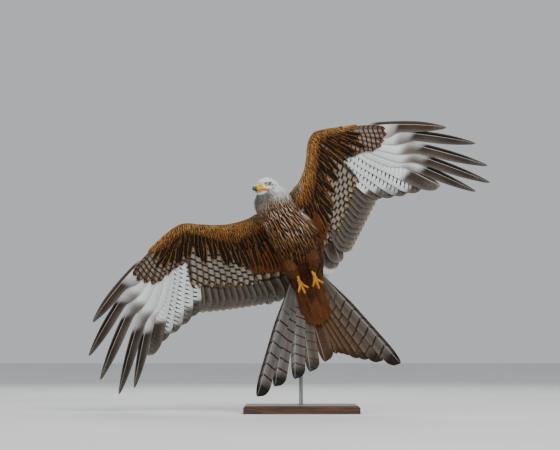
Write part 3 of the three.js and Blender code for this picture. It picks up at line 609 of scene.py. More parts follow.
def horn_material(name, tip, root, start=0.1, end=0.6):
    """Dark glossy horn with faint growth lines, paler at its root; Vane's y runs from root to tip."""
    p = Paint(name)
    along = p.vane()[1]
    lines = p.grain(p.vector(p.mul(along, 40.0), 0.0, 0.0), 1.5, 4.0)
    soft = p.grain(p.place(), 160.0)
    colour = p.blend(p.rise(p.mad(soft, 0.1, along), start, end), tint(root), tint(tip))
    colour = p.blend(p.rise(lines, 0.45, 0.8, 0.0, 0.35), colour, (0.16, 0.14, 0.12))
    p.bump(lines, 0.25, 0.0003)
    shine = p.rise(soft, 0.3, 0.7, 0.22, 0.38)
    return p.done(colour, shine, Specular_IOR_Level=0.55, Coat_Weight=0.25, Coat_Roughness=0.15)


def eye_material():
    """A pale yellow iris with fine spokes round a dark pupil; Vane's y runs outward from its middle."""
    p = Paint("eye_iris")
    around, out, _ = p.vane()
    spokes = p.grain(p.vector(p.mul(around, 60.0), p.mul(out, 4.0), 0.0), 1.0, 3.0)
    iris = p.blend(p.rise(spokes, 0.35, 0.7), tint("bfa84c"), tint("efe6a4"))
    iris = p.blend(p.rise(out, 0.3, 0.38), iris, tint("5a4a22"))
    colour = p.blend(p.rise(out, 0.15, 0.17), tint("030303"), iris)
    colour = p.blend(p.rise(out, 0.46, 0.52), colour, tint("0d0907"))
    return p.done(colour, 0.12, Specular_IOR_Level=0.4, Coat_Weight=0.6, Coat_Roughness=0.03)


def wood_material():
    """Dark oiled wood with long grain along the base."""
    p = Paint("oiled_wood")
    x, y, z = p.parts(p.place())
    slow = p.vector(p.mul(x, 0.12), y, p.mul(z, 1.6))
    rings = p.sum("SINE", p.mad(p.grain(slow, 22.0, 3.0), 44.0, p.mul(y, 160.0)))
    pores = p.grain(p.vector(p.mul(x, 0.05), y, z), 900.0, 2.0)
    colour = p.blend(p.rise(rings, -0.8, 0.9), tint("3b2416"), tint("5c3a22"))
    colour = p.blend(p.rise(pores, 0.55, 0.7, 0.0, 0.6), colour, tint("23140c"))
    p.bump(p.add(rings, p.mul(pores, -3.0)), 0.15, 0.0004)
    return p.done(colour, p.rise(pores, 0.4, 0.7, 0.34, 0.5), Coat_Weight=0.15, Coat_Roughness=0.3)


def steel_material():
    """Brushed steel, with a fine grain round the rod and soft wear."""
    p = Paint("brushed_steel")
    x, y, z = p.parts(p.place())
    brush = p.grain(p.vector(p.mul(x, 0.2), p.mul(y, 0.2), z), 1500.0, 2.0)
    colour = p.blend(p.rise(p.grain(p.place(), 14.0), 0.35, 0.7), tint("8b8d8e"), tint("a9abac"))
    p.bump(brush, 0.2, 0.0002)
    return p.done(colour, p.rise(brush, 0.3, 0.7, 0.26, 0.42), Metallic=1.0)


def floor_material():
    p = Paint("pale_floor")
    return p.done(p.blend(p.rise(p.grain(p.place(), 1.2), 0.3, 0.7), tint("dcdcda"), tint("e3e3e1")), 0.75)


SMALL = feather_material("feather_small", 420.0, 0.0002, vary=0.55)
TINY = feather_material("feather_face", 90.0, 0.0002, 0.7, 0.35)
FLIGHT = feather_material("feather_flight", 1500.0, 0.0003, 0.5, 0.2)
TAIL = feather_material("feather_tail", 1500.0, 0.0003, 0.83, 0.2)
DOWN = skin_material()
YELLOW = scaly_material("foot_scales", "e2a41a", "c27f12", 480.0, 0.42, 0.0008)
CERE_SKIN = scaly_material("cere_skin", "e8b428", "d79a1c", 300.0, 0.36, 0.0001, 0.12)
GAPE_SKIN = scaly_material("gape_skin", "e59a24", "cf7420", 380.0, 0.4, 0.0001, 0.1)
LID_SKIN = scaly_material("lid_skin", "8a6a3c", "4f3b25", 700.0, 0.5, 0.0003)
NOSTRIL = scaly_material("nostril_skin", "b5401a", "5a1c0c", 500.0, 0.5, 0.0002)
HORN = horn_material("bill_horn", "0b0a0b", "c99426", 0.5, 0.78)
CLAW_HORN = horn_material("claw_horn", "0d0c0d", "252324")
IRIS = eye_material()


# The skin: one surface under all feathers

def wing_skin(wing, rows=14, columns=60):
    """The fleshy wing as a closed plate."""
    s, v = np.meshgrid(np.linspace(0.0, 0.97, rows), np.linspace(0, 0.98, columns), indexing="ij")
    fat = np.maximum(wing_fat(s, v) - COAT * 0.8, 1.2)
    plan = wing_plan(wing, np.clip(s, 0.03, 1), v)
    points = np.concatenate([wing_place(wing, plan, side * fat).reshape(-1, 3) for side in (-1, 1)])
    faces = grid_faces(rows, columns)
    upper = rows * columns
    number = np.arange(upper).reshape(rows, columns)
    loop = np.concatenate([number[0], number[1:, -1], number[-1, -2::-1], number[-2:0:-1, 0]])
    rim = np.stack([loop, np.roll(loop, -1), np.roll(loop, -1) + upper, loop + upper], -1)
    return points, [faces, faces[:, ::-1] + upper, rim]


skin_points, skin_faces, total = [], [], 0
forms = [
    grid(body_form(COAT), (-158, 180), 56, 70), grid(head_form(1.6), (-44, 31), 48, 50),
    grid(tail_form, (-20, 66), 40, 24), *(wing_skin(wing) for wing in WINGS),
    *(grid(thigh_form(leg, COAT * 0.6), (0, 0.98), 28, 20) for leg in LEGS),
]
for points, faces in forms:
    skin_points.append(points)
    skin_faces.extend(row for f in faces for row in (f + total).tolist())
    total += len(points)
mesh = bpy.data.meshes.new("skin")
mesh.from_pydata(world(np.concatenate(skin_points)).tolist(), [], skin_faces)
rough = bpy.data.objects.new("skin_rough", mesh)
bpy.context.scene.collection.objects.link(rough)
remesh = rough.modifiers.new("join", "REMESH")
remesh.mode = "VOXEL"
remesh.voxel_size = SKIN_GRAIN
soften = rough.modifiers.new("soften", "CORRECTIVE_SMOOTH")
soften.factor = 0.6
soften.iterations = 6
soften.use_only_smooth = True
skin_mesh = bpy.data.meshes.new_from_object(rough.evaluated_get(bpy.context.evaluated_depsgraph_get()))
bpy.data.objects.remove(rough)
bpy.data.meshes.remove(mesh)
skin_mesh.name = "skin"
places = np.empty(len(skin_mesh.vertices) * 3, np.float32)
skin_mesh.vertices.foreach_get("co", places)
bird = (places.reshape(-1, 3) * 1000 - BIRD_AT) @ TO_WORLD.T
out = np.abs(bird[:, 0])
base = body_colours(bird, ease(bird[:, 2], 0, 14))[0]
head_at = (bird - HEAD_AT) @ np.array([HEAD_AHEAD, HEAD_UP, HEAD_LEFT]).T
# The skin under the head takes the head's colours, with the painted shade under the head.
pale = head_colours(head_at[:, 0], np.arctan2(head_at[:, 2], head_at[:, 1]))[0]
base = blend(base, pale, ease(bird[:, 1], 150, 172) * ease(-out, -75, -55))
wing_cover = wing_colours(out, 0.35 + 0 * out, out / 400, ease(bird[:, 2] - 30, 0, 10))[0]
base = blend(base, wing_cover, ease(out, 66, 90))
tone = skin_mesh.attributes.new("Base", "FLOAT_VECTOR", "POINT")
tone.data.foreach_set("vector", base.astype(np.float32).ravel())
skin_mesh.polygons.foreach_set("use_smooth", np.ones(len(skin_mesh.polygons), bool))
skin_mesh.materials.clear()
skin_mesh.materials.append(DOWN)
skin = bpy.data.objects.new("skin", skin_mesh)
bpy.context.scene.collection.objects.link(skin)
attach(skin, "root")
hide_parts("torso", "neck", "head", "thigh_right", "thigh_left", "tail",
            "wing_right_arm", "wing_right_hand", "wing_left_arm", "wing_left_hand")


# Small feathers

def outline(v, point):
    """The width along a feather, as a share of its widest: point 0 is round and 1 is lance-shaped."""
    swell = mix(0.3, 1, ease(v, 0.0, 0.45))
    taper = np.sqrt(np.maximum(0.0, 1 - np.maximum(0, (v - 0.5) / 0.5) ** 2.4))
    lance = np.maximum(0.0, 1 - np.maximum(0, (v - 0.35) / 0.65) ** 1.3)
    return swell * np.maximum(mix(taper, lance, point), 0.05)


def lay(pile, root, way, up, length, half, colours, bake, point=0.4, sink=2.0, proud=1.5, curl=0.0, bow=0.0,
        cup=0.16, tilt=0.12, rows=7, columns=5):
    """Many small feathers, each from its root along its way over a surface whose outward side is up."""
    n = len(root)
    each = lambda value: np.broadcast_to(value, n)[:, None, None]
    side = unit(np.cross(up, way))
    way = unit(way + side * random.normal(0, 0.09, (n, 1)) + up * random.normal(0, 0.02, (n, 1)))
    side = unit(np.cross(up, way))
    up = np.cross(way, side)
    length = each(length * np.exp(random.normal(0, 0.09, n)))
    half = each(half * np.exp(random.normal(0, 0.09, n)))
    v = np.linspace(0, 1, rows)[None, :, None]
    u = np.linspace(-1, 1, columns)[None, None, :]
    wide = half * outline(v, each(point)) * u
    along = length * (v - 0.1 * np.abs(u) ** 2 * ease(v, 0.3, 1))
    lean = each(tilt + random.normal(0, 0.05, n))
    height = mix(-sink, proud, ease(v, 0.0, 0.4)) - each(curl) * along**2 - each(bow) * wide**2
    height = height + lean * wide + cup * half * (1 - u**2) * ease(v, 0, 0.3) * (1 - 0.6 * v)
    front = root[:, None, None]
    for axis, far in ((way, along), (side, wide), (up, height)):
        front = front + axis[:, None, None] * far[..., None]
    base, edge, mark, streak = colours
    seed = random.random(n)
    form = np.stack([np.broadcast_to(streak, n), seed, seed * 0 + 0.1], -1)
    uv = np.stack(np.broadcast_arrays((u[0] + 1) / 2, v[0]), -1)
    faces = grid_faces(rows, columns)
    strip = grid_faces(rows, 2)[:, ::-1]
    step = np.arange(n)[:, None, None]
    reads = dict(Base=base, Edge=edge, Mark=mark, Form=form)
    grow = lambda value, count: np.repeat(np.broadcast_to(value, (n, value.shape[-1])), count, axis=0)
    for points, cells, marks in ((front, faces, uv), (front[:, :, [0, -1]], strip, uv[:, [0, -1]])):
        marks = marks.reshape(-1, 2)
        count = len(marks)
        tiled = np.tile(marks, (n, 1))
        pile.add(points.reshape(-1, 3), [(cells[None] + step * count).reshape(-1, 4)], tiled,
                 np.repeat(bake, count, axis=0) + 0.003 * (tiled - 0.5),
                 **{key: grow(value, count) for key, value in reads.items()})


def coat(name, material, slot, *laid, **shape):
    """One piece of small feathers laid over a surface."""
    pile = Pile()
    lay(pile, *laid, **shape)
    pile.build(name, material, slot)


def rows_round(surface, stations, spacing_of, step_of, sides=72):
    """Places in staggered rows round a form: (along, turn) for each feather."""
    along, turns, a, odd = [], [], stations[0], 0
    down = np.sign(stations[1] - stations[0])
    while (a - stations[1]) * down < 0:
        ring = surface(np.full(sides, a), np.linspace(0, TAU, sides, endpoint=False))
        girth = np.linalg.norm(np.roll(ring, -1, 0) - ring, axis=1).sum()
        count = max(6, int(girth / spacing_of(a)))
        along.append(np.full(count, a) + random.normal(0, 0.1, count) * step_of(a))
        turn = (np.arange(count) + 0.5 * odd) / count * TAU
        turns.append(turn + random.normal(0, 0.12, count) * ROUND / count)
        a += step_of(a) * down
        odd = 1 - odd
    return np.concatenate(along), np.concatenate(turns)


def frame_on(surface, a, turn, down):
    """Place, way and outward side on a form, with the way running down its length."""
    here = surface(a, turn)
    way = unit(surface(a + down, turn) - surface(a - down, turn))
    side = unit(surface(a, turn + 0.03) - surface(a, turn - 0.03))
    up = np.cross(side, way)
    up = up * np.sign(np.sum(up * (here - surface(a, turn + math.pi)), -1, keepdims=True))
    return here, way, unit(up)


def back_by(a, low, high):
    """How far back a place is, from 0 to 1."""
    return float(ease(-a, low, high))


def pick(chosen, *arrays):
    """The chosen rows of each array."""
    return [values[chosen] for values in arrays]


# Trunk and neck
body = body_form(COAT * 0.5)
a, turn = rows_round(
    body, (186, -150), lambda y: mix(2.8, 7.4, back_by(y, -168, -80)) * mix(1, 0.7, back_by(y, -20, 90)),
    lambda y: mix(4.2, 13.5, back_by(y, -178, -80)) * mix(1, 0.66, back_by(y, -10, 100)))
here, way, up = frame_on(body, a, turn, -1.5)
grown = ease(-a, -180, -80)
length = mix(20, 54, grown) * mix(1, 0.68, ease(-a, -10, 100))
half = mix(1.9, 6.2, grown) * mix(1, 0.68, ease(-a, -20, 90))
above = ease(up[:, 2], 0.0, 0.55)
keep = (np.abs(here[:, 0]) < 58) | (here[:, 1] < 60)
colours = body_colours(here, above)
neck = ease(a, 138, 168)
# The neck takes the head's colours, with its greyed underside that is partly painted shade.
pale = head_colours(-34 + 0 * a, turn + math.pi - 0.6)
colours = [blend(c, p, neck) if np.ndim(c) > 1 else mix(c, p, neck) for c, p in zip(colours, pale)]
bakes, points = np.stack([turn / ROUND, (a + 160) / 350], -1), mix(0.6, 0.95, ease(a, -20, 100))
for name, chosen in (("under", keep & (up[:, 2] <= 0.1)), ("over", keep & (up[:, 2] > 0.1))):
    *laid, bake, sharp = pick(chosen, here, way, up, length, half, bakes, points)
    coat("coat_body_" + name, SMALL, "feather_streaked", *laid, pick(chosen, *colours), bake,
         point=sharp, sink=2.5, proud=2.4, curl=0.0005, bow=0.008, rows=9)

# Shoulders: short feathers over the folds where the wings meet the body
normals = np.empty(len(skin_mesh.vertices) * 3, np.float32)
skin_mesh.vertices.foreach_get("normal", normals)
normals = normals.reshape(-1, 3) @ TO_WORLD.T
out, ahead = np.abs(bird[:, 0]), bird[:, 1]
fold = np.flatnonzero((out > 24) & (out < 76) & (ahead > 30) & (ahead < 166))
fold = fold[np.unique(np.floor(bird[fold] / 4.4), axis=0, return_index=True)[1]]
here, up = bird[fold], unit(normals[fold])
way = unit(up * up[:, 1:2] - Y + 0.4 * X * np.sign(here[:, :1]) * np.maximum(0, up[:, 1:2]))
coat("coat_shoulders", SMALL, "feather_streaked", here, along_surface(way, up), up, 22.0, 3.9,
     body_colours(here, ease(up[:, 2], 0.0, 0.55)), np.stack([here[:, 0] / 200 + 0.5, here[:, 1] / 200], -1),
     point=0.8, sink=1.2, proud=1.4, curl=0.001, tilt=0.08)

# Thighs
for leg in LEGS:
    surface = thigh_form(leg, 1.5)
    a, turn = rows_round(surface, (0.08, 0.97), lambda a: mix(4.4, 3.2, a), lambda a: 0.06)
    here, way, up = frame_on(surface, a, turn, 0.02)
    plain = blend(RUFOUS, RUSSET, 0.35 + 0.35 * noise(here, 30, 5))
    coat("coat_thigh_" + leg["name"], SMALL, "feather_rufous", here, way, up, mix(26, 15, a),
         mix(3.6, 2.4, a), (plain, mix(plain, GOLD, 0.12), mix(plain, UMBER, 0.7), 0.12),
         np.stack([turn / ROUND, a], -1), point=0.8, sink=2.0, proud=1.6, curl=0.004, bow=0.01)

# Head: small feathers, smallest round the bill and the eyes, none over the eyes and the mouth
head = head_form(0.8)
a, turn = rows_round(head, (30, -44), lambda a: mix(1.25, 2.6, back_by(a, -30, 25)),
                     lambda a: mix(1.5, 3.8, back_by(a, -30, 25)))
here, way, up = frame_on(head, a, turn, -0.7)
far_from = lambda spots: np.min(np.linalg.norm(here[:, None] - spots[None], axis=-1), axis=1)
mouth = [curve([on_head(x, y, c * z) for x, y, z in MOUTH], np.linspace(0, 0.88, 30)) for c in (1, -1)]
eyes = on_head(EYE["ahead"], EYE["up"], np.array([21, -21]))
clear = (far_from(eyes) > 8.0) & (far_from(np.concatenate(mouth)) > 2.6)
size = ease(-a, -30, 20)
*laid, bake = pick(clear, here, way, up, mix(5.8, 20, size), mix(0.85, 1.9, size),
                   np.stack([turn / ROUND, (a + 50) / 90], -1))
coat("coat_head", TINY, "feather_pale", *laid, pick(clear, *head_colours(a, turn)), bake,
     point=0.85, sink=0.8, proud=0.7, curl=0.0045, bow=0.03, tilt=0.05, cup=0.1, rows=7, columns=3)


# Big feathers: closed vanes with an underside and an upper side, each with its own colours

ACROSS = np.array([-1, -0.93, -0.76, -0.5, -0.24, -0.07, 0, 0.07, 0.22, 0.42, 0.62, 0.8, 0.94, 1.0])


def big_vane(under, over, place, paint, strip, rows, thick=0.7):
    """One vane: place(u, v, lift) gives points, paint(u, v, above) its colours, strip its patch of the map.
    Its underside goes to one pile and its upper side to the other; a side without a pile is left out."""
    v, u = np.meshgrid(np.linspace(0, 1, rows) ** 0.92, ACROSS, indexing="ij")
    seed = random.random()
    lens = thick / 2 * (1 - u**4) + 0.7 * np.exp(-((u / 0.06) ** 2)) * (1 - 0.85 * v)
    uv = np.stack([(u + 1) / 2, v], -1).reshape(-1, 2)
    corner, far = np.array(strip[:2]), np.array(strip[2:])
    spread = lambda value: np.broadcast_to(value, u.shape + (3,)).reshape(-1, 3)
    faces = grid_faces(rows, len(ACROSS))
    for pile, above in ((under, 0), (over, 1)):
        if pile is None:
            continue
        # The last value sets how pale the shaft shows: partly its own colour, partly a painted glint.
        base, edge, mark, bars, streak, shaft_pale_and_glint = paint(u, v, above)
        form = np.stack([np.broadcast_to(streak, u.shape), seed + 0 * u, shaft_pale_and_glint + 0 * u], -1)
        bars = np.stack(np.broadcast_arrays(*bars, u)[:3], -1)
        reads = dict(Base=base, Edge=edge, Mark=mark, Form=form, Bars=bars)
        points = place(u, v, lens if above else -lens).reshape(-1, 3)
        pile.add(points, [faces if above else faces[:, ::-1]], uv, corner + uv * (far - corner),
                 **{key: spread(value) for key, value in reads.items()})


def wing_vane(wing, root, degrees, length, inner, outer, bow, root_height, height):
    """Places on one wing feather: u runs from its outer, leading edge at -1 to its inner edge at 1."""
    turn = math.radians(degrees)
    way_out, way_ahead = math.cos(turn), -math.sin(turn)

    def place(u, v, lift):
        s = v * length
        aside = u * np.where(u > 0, inner(v), outer(v))
        bend = bow * (v * v - v)
        shaft_out = root[0] + way_out * s + way_ahead * bend
        shaft_ahead = root[1] + way_ahead * s - way_out * bend
        rise = wing_height(wing, shaft_out, shaft_ahead)
        slope = wing_height(wing, shaft_out + way_ahead, shaft_ahead - way_out) - rise
        tilt = np.tan(np.radians(mix(*SHINGLE, np.minimum(1, s / 240))))
        high = rise + mix(root_height, height, ease(v, 0.25, 0.7)) + aside * (slope - tilt)
        camber = -0.035 * np.abs(aside) * np.abs(u)
        return np.stack([wing["sign"] * (shaft_out + way_ahead * aside), shaft_ahead - way_out * aside,
                         high + lift + camber], -1)
    return place


def blunt(full, tip=0.84, ramp=0.42):
    """Half width of a blunt feather along its length."""
    def width(v):
        past = (np.maximum(v, tip) - tip) / (1 - tip)
        end = np.where(v < tip, 1, np.sqrt(np.maximum(0.0, 1 - past**2)))
        return full * mix(0.22, 1, ease(v, 0, ramp)) * np.maximum(end, 0.02)
    return width


def finger(full, blade, notch):
    """Half width of a finger feather, cut in at its notch."""
    def width(v):
        cut = mix(full, blade, ease(v, notch - 0.07, notch + 0.07))
        end = mix(1, 0.16, np.maximum(0, (v - 0.66) / 0.34) ** 2)
        end = end * np.sqrt(np.maximum(0.0, 1 - np.maximum(0, (v - 0.97) / 0.03) ** 2))
        return np.maximum(cut * mix(0.22, 1, ease(v, 0, 0.3)) * end, 0.15)
    return width


def primary_paint(k, length):
    """The long outer feathers: white bases under the hand, dusky tips, and black fingers."""
    notch = WHITE_ENDS[k]

    def paint(u, v, above):
        soft = 0.035 * np.sin(v * 31 + k) + 0.05 * u
        beyond = ease(v + soft, notch - 0.05, notch + 0.07)
        lead = ease(-u, 0.02, 0.16)
        if above:
            base = blend(mix(UMBER, DUSK, 0.3), BLACK, np.maximum(beyond, lead * 0.6))
            return base, mix(base, DUSK, 0.3), BLACK, (0.035 * length, 0.35 * (1 - beyond), k), 0.0, 0.05
        window = blend(WHITE, tint("c6cbcb"), 0.75 * ease(u, 0.3, 1.0))
        window = blend(window, tint("b9bcba"), 0.5 * lead)
        if k >= FIRST_FINGER:
            dark = blend(TRAILING, tint("766a5e"), 0.5 * ease(u, 0.1, 0.5) * (1 - v))
            dark = blend(dark, LEADING, lead)
            dark = blend(dark, LEADING, 0.75 * ease(v, 0.62, 0.98))
            dark = blend(dark, LEADING, 0.5 * np.exp(-((v - notch - 0.08) / 0.06) ** 2))
        else:
            dark = blend(TRAILING, tint("3c322b"), ease(v, 0.78, 0.97))
            dark = blend(dark, tint("94866f"), 0.7 * ease(v, 0.965, 1.0))
        base = blend(window, dark, beyond)
        if k == 9:
            outermost = np.maximum(lead, 0.6 * ease(v, 0.3, 0.5)) * ease(v, 0.14, 0.3)
            base = blend(base, tint("3f3229"), outermost)
        barred = ease(u, -0.1, 0.05) * ease(-u, -0.85, -0.6) * ease(v, 0.24, 0.36) * (1 - 0.5 * beyond)
        barred = barred * (1.0 if k < 4 else 0.35 if k < FIRST_FINGER else 0.0)
        # 0.9 at the end paints the shaft pale down the underside: partly its own pale shaft, partly a painted
        # glint.
        return base, mix(base, PALE, 0.12), BLACK, (0.08 * length, barred, 2 * k), 0.0, 0.9
    return paint


def secondary_paint(t, length, pale):
    """The arm's long feathers: dusky below with darker bars, dark brown above."""
    def paint(u, v, above):
        if above:
            base = mix(mix(UMBER, DUSK, 0.35), BLACK, 0.25)
            return base, mix(base, RUFOUS, 0.35), BLACK, (0.03 * length, 0.5, t * 5), 0.0, 0.05
        inner = 0.6 * ease(u, 0.0, 0.6) * (1 - ease(v, 0.5, 0.8))
        rim = 0.75 * ease(v, 0.72, 0.92) + 0.25 * ease(np.abs(u), 0.6, 1)
        base = blend(blend(tint("3a2e25"), tint("574a3d"), inner), tint("2d241e"), rim)
        base = blend(base, tint("88785f"), ease(v, 0.955, 1.0) * 0.8)
        base = blend(base, WHITE, pale * ease(v, 0.62, 0.85))
        bars = (0.042 * length, 0.8 * (1 - ease(v, 0.68, 0.8)), 4 * t)
        return base, mix(base, PALE, 0.15), tint("1f1713"), bars, 0.0, 0.35
    return paint


def covert_paint(kind, k, length):
    """The rows that hide the roots of the long feathers."""
    def paint(u, v, above):
        rim = np.maximum(ease(np.abs(u), 0.6, 0.95), ease(v, 0.93, 0.99))
        if above:
            base = mix(mix(mix(UMBER, BLACK, 0.25), DUSK, 0.2), RUSSET, 0.3 if kind == "arm" else 0)
            base = blend(base, mix(GOLD, BUFF, 0.25), rim * 0.35)
            return base, mix(RUFOUS, GOLD, 0.3), BLACK, (3.0, 0.15, k), 0.14, 0.1
        if kind == "hand":
            base = blend(tint("6c6156"), tint("55392a"), ease(v, 0.5, 0.95))
            base = blend(base, tint("958c82"), 0.7 * ease(u, 0.1, 0.5))
            base = blend(base, mix(RUFOUS, GOLD, 0.2), rim * 0.75)
            bars = (0.075 * length, 0.95 * ease(v, 0.2, 0.4), k)
            return base, mix(base, RUFOUS, 0.5), mix(UMBER, BLACK, 0.5), bars, 0.12, 0.2
        base = blend(tint("3a322c"), tint("948d85"), 0.8 * ease(u, -0.05, 0.35) * (1 - 0.4 * ease(u, 0.6, 1)))
        base = blend(base, tint("66543f"), rim * 0.5)
        return base, mix(base, BUFF, 0.2), tint("1a1410"), (0.052 * length, 0.95, k * 2), 0.1, 0.2
    return paint


def alula_paint(u, v, above):
    return mix(BLACK, DUSK, 0.25), mix(BLACK, DUSK, 0.5), BLACK, (4.0, 0.2, 0.0), 0.0, 0.1


def armpit_paint(u, v, above):
    middle = 0.94 * (1 - ease(np.abs(u), 0.6, 0.9)) * (1 - ease(v, 0.94, 1.0))
    base = blend(mix(ORANGE, GOLD, 0.25), mix(UMBER, BLACK, 0.45), middle)
    return base, mix(UMBER, ORANGE, 0.45), BLACK, (0, 0, 0), 0.3, 0.15


def strip_of(n, count):
    """The patch of the map for one vane of many."""
    return n / count, 0.0, (n + 0.9) / count, 1.0


def long_feathers(wing):
    """Each long feather's root, degrees, length, inner and outer half width, bow, height, kind and place."""
    shoulder, elbow, wrist, tip = (wing[joint] for joint in ("shoulder", "elbow", "wrist", "hand_tip"))
    for t in np.arange(4) / 4:
        yield (between(between(shoulder, elbow, 0.2), elbow, t), mix(*wing["tertials"], t), mix(219, 208, t),
               blunt(30), blunt(18), 12.0, 0.0, "arm", t)
    for t in np.arange(11) / 10:
        yield (between(elbow, wrist, 0.95 * t), mix(*wing["secondaries"], t), mix(203, 243, t),
               blunt(33), blunt(14), 12.0, 0.0, "arm", t)
    for k, length in enumerate(PRIMARY_LENGTHS):
        long = k >= FIRST_FINGER
        yield (between(wrist, tip, mix(0.03, 1, k / 9)), wing["primaries"][k], length,
               finger(36, 21, NOTCH) if long else blunt(36, 0.8),
               finger(10, 10, NOTCH) if long else blunt(10, 0.8),
               22.0 + 5 * (k - FIRST_FINGER) if long else 12.0, -0.4, "hand", k)


def flight_feathers(wing):
    """The wing's long feathers, and the greater coverts over and under their roots."""
    flight_under, flight_over, row_under, row_over = (Pile() for _ in range(4))
    quills = list(long_feathers(wing))
    for n, (root, degrees, length, inner, outer, bow, height, kind, k) in enumerate(quills):
        strip = strip_of(n, len(quills))
        pale = 0.75 if wing["sign"] < 0 and n < 2 else 0.0
        paint = primary_paint(k, length) if kind == "hand" else secondary_paint(k, length, pale)
        vane = wing_vane(wing, root, degrees, length, inner, outer, bow, 0.0, height)
        big_vane(flight_under, flight_over, vane, paint, strip, 60)
        turn = math.radians(degrees)
        start = (root[0] - 6 * math.cos(turn), root[1] + 6 * math.sin(turn))
        for piles, great in (((row_under, None), GREAT_UNDER), ((None, row_over), GREAT_OVER)):
            on_arm, on_hand, low, high, wide = great
            cover = GREAT_ON_HAND + on_hand * length if kind == "hand" else on_arm * length
            cover = cover * (1 + random.normal(0, 0.012))
            vane = wing_vane(wing, start, degrees, cover, blunt(wide, 0.7), blunt(9, 0.7), 5.0, low, high)
            big_vane(*piles, vane, covert_paint(kind, n, cover), strip, 22, 0.5)
    for name, pile in (("flight_under_", flight_under), ("flight_over_", flight_over),
                       ("coverts_great_under_", row_under), ("coverts_great_over_", row_over)):
        pile.build(name + wing["name"], FLIGHT, "feather_flight")


def alula(wing):
    """The short stiff feathers at the wrist."""
    pile, wrist, tip = Pile(), wing["wrist"], wing["hand_tip"]
    hand_way = math.degrees(math.atan2(wrist[1] - tip[1], tip[0] - wrist[0]))
    for k, length in enumerate(ALULA_LENGTHS):
        vane = wing_vane(wing, (wrist[0] + 13 - 1.5 * k, wrist[1] + 3 - 4 * k), hand_way + 9 + 3 * k, length,
                         blunt(12), blunt(7), 6.0, 3.0, 8 - 1.4 * k)
        big_vane(pile, pile, vane, alula_paint, strip_of(k, 3), 24)
    pile.build("alula_" + wing["name"], FLIGHT, "feather_flight")


def armpit(wing):
    """The long feathers of the armpit."""
    pile = Pile()
    for k in range(9):
        t = k / 8
        vane = wing_vane(wing, between(wing["shoulder"], wing["elbow"], mix(0.1, 0.72, t)), mix(94, 87, t),
                         150 * mix(1, 0.74, t) * (1 + random.normal(0, 0.03)),
                         blunt(12, 0.72), blunt(8, 0.72), 6.0, -5.4, -9.5 - 0.25 * (k % 2))
        big_vane(pile, pile, vane, armpit_paint, strip_of(k, 9), 24, 0.5)
    pile.build("axillaries_" + wing["name"], FLIGHT, "feather_rufous")


def small_coverts(wing, above):
    """The small coverts, in rows from behind the bones to the front edge. Returns the last row's reach."""
    fan_v = [0.04, 0.36, 0.66, *np.linspace(0.7, 1.0, 10)]
    fan = [wing["tertials"][0], *wing["secondaries"], *wing["primaries"]]
    stations = np.linspace(0.02, 0.99, 80)
    pile = Pile()
    face = 1 if above else -1
    s, row = 1.0, 0
    while s > 0.005:
        front = 1 - s
        length = mix(88, 18, ease(front, -0.08, 0.58))
        half = mix(8.6, 4.2, ease(front, 0.0, 0.6))
        line = wing_plan(wing, np.full(len(stations), s), stations)
        reach = np.concatenate([[0], np.cumsum(np.linalg.norm(np.diff(line, axis=0), axis=1))])
        count = int(reach[-1] / (half * 1.45))
        v = (np.arange(count) + 0.5 * (row % 2)) / count * reach[-1] + random.normal(0, 0.6, count)
        v = np.interp(v, reach, stations)
        at = np.clip(s + random.normal(0, 0.01, count), 0.01, 1.0)
        plan = wing_plan(wing, at, v)
        chord = np.linalg.norm(wing_plan(wing, np.ones(count), v) - curve(wing["front"], v), axis=1)
        turn = np.radians(np.interp(v, fan_v, fan))
        down = np.stack([np.cos(turn), -np.sin(turn)], -1)
        aside = np.stack([np.sin(turn), np.cos(turn)], -1)
        deep = wing_fat(at, v)
        ahead = at + length * 0.7 / chord
        past = ease((ahead - 1) * chord, 0, 22)
        deep_there = mix(wing_fat(np.minimum(ahead, 1), v), 6.4 if above else 8.4, past)
        here = wing_place(wing, plan, face * (deep - 0.6))
        way = unit(wing_place(wing, plan + down * (length * 0.7), face * (deep_there - 0.6)) - here)
        beside = wing_place(wing, plan + aside, face * deep) - wing_place(wing, plan, face * deep)
        up = unit(np.cross(way, beside))
        lay(pile, here, way, up * np.sign(up[:, 2:3]) * face, length, half,
            wing_colours(plan[:, 0], at, v, np.full(count, float(above))), np.stack([v, at], -1),
            point=mix(0.1, 0.6, ease(front, 0.1, 0.6)), sink=1.6, proud=1.9, tilt=0.1)
        overlap = mix(0.26, 0.42, front)
        s -= overlap * length / max(60.0, float(np.median(chord))) * (1 if s > 0.2 else 0.5)
        row += 1
    pile.build(f"coverts_small_{'over' if above else 'under'}_{wing['name']}", SMALL, "feather_streaked")
    return reach


def front_edge(wing, reach):
    """Short feathers wrapped over the front edge itself."""
    surface = lambda at, v, height: wing_place(wing, wing_plan(wing, at, v), height)
    pile = Pile()
    for q in np.linspace(-0.9, 0.9, 8):
        count = int(reach[-1] / 4.2)
        v = (np.arange(count) + random.random(count)) / count * reach[-1]
        v = np.interp(v, reach, np.linspace(0.0, 0.99, len(reach)))
        at = 0.02 + 0.06 * abs(q) + 0 * v
        nose = q * wing_fat(0.06 + 0 * v, v)
        here = surface(at, v, nose)
        ahead = unit(surface(0 * v, v, 0 * v) - surface(0.2 + 0 * v, v, 0 * v))
        span = unit(surface(at, v + 0.01, nose) - surface(at, v - 0.01, nose))
        turn = math.radians(65) * q
        up = unit(ahead * math.cos(turn) + Z * math.sin(turn))
        back = Z * np.sign(q) * math.cos(turn) - ahead * abs(math.sin(turn))
        lay(pile, here, along_surface(unit(span * 0.8 + back * (0.3 + abs(q))), up), up, 13, 2.9,
            wing_colours(np.abs(here[:, 0]), at, v, np.full(count, float(q > 0))), np.stack([v, at], -1),
            point=0.6, sink=1.2, proud=0.9, curl=0.003, tilt=0.08)
    pile.build("coverts_edge_" + wing["name"], SMALL, "feather_streaked")


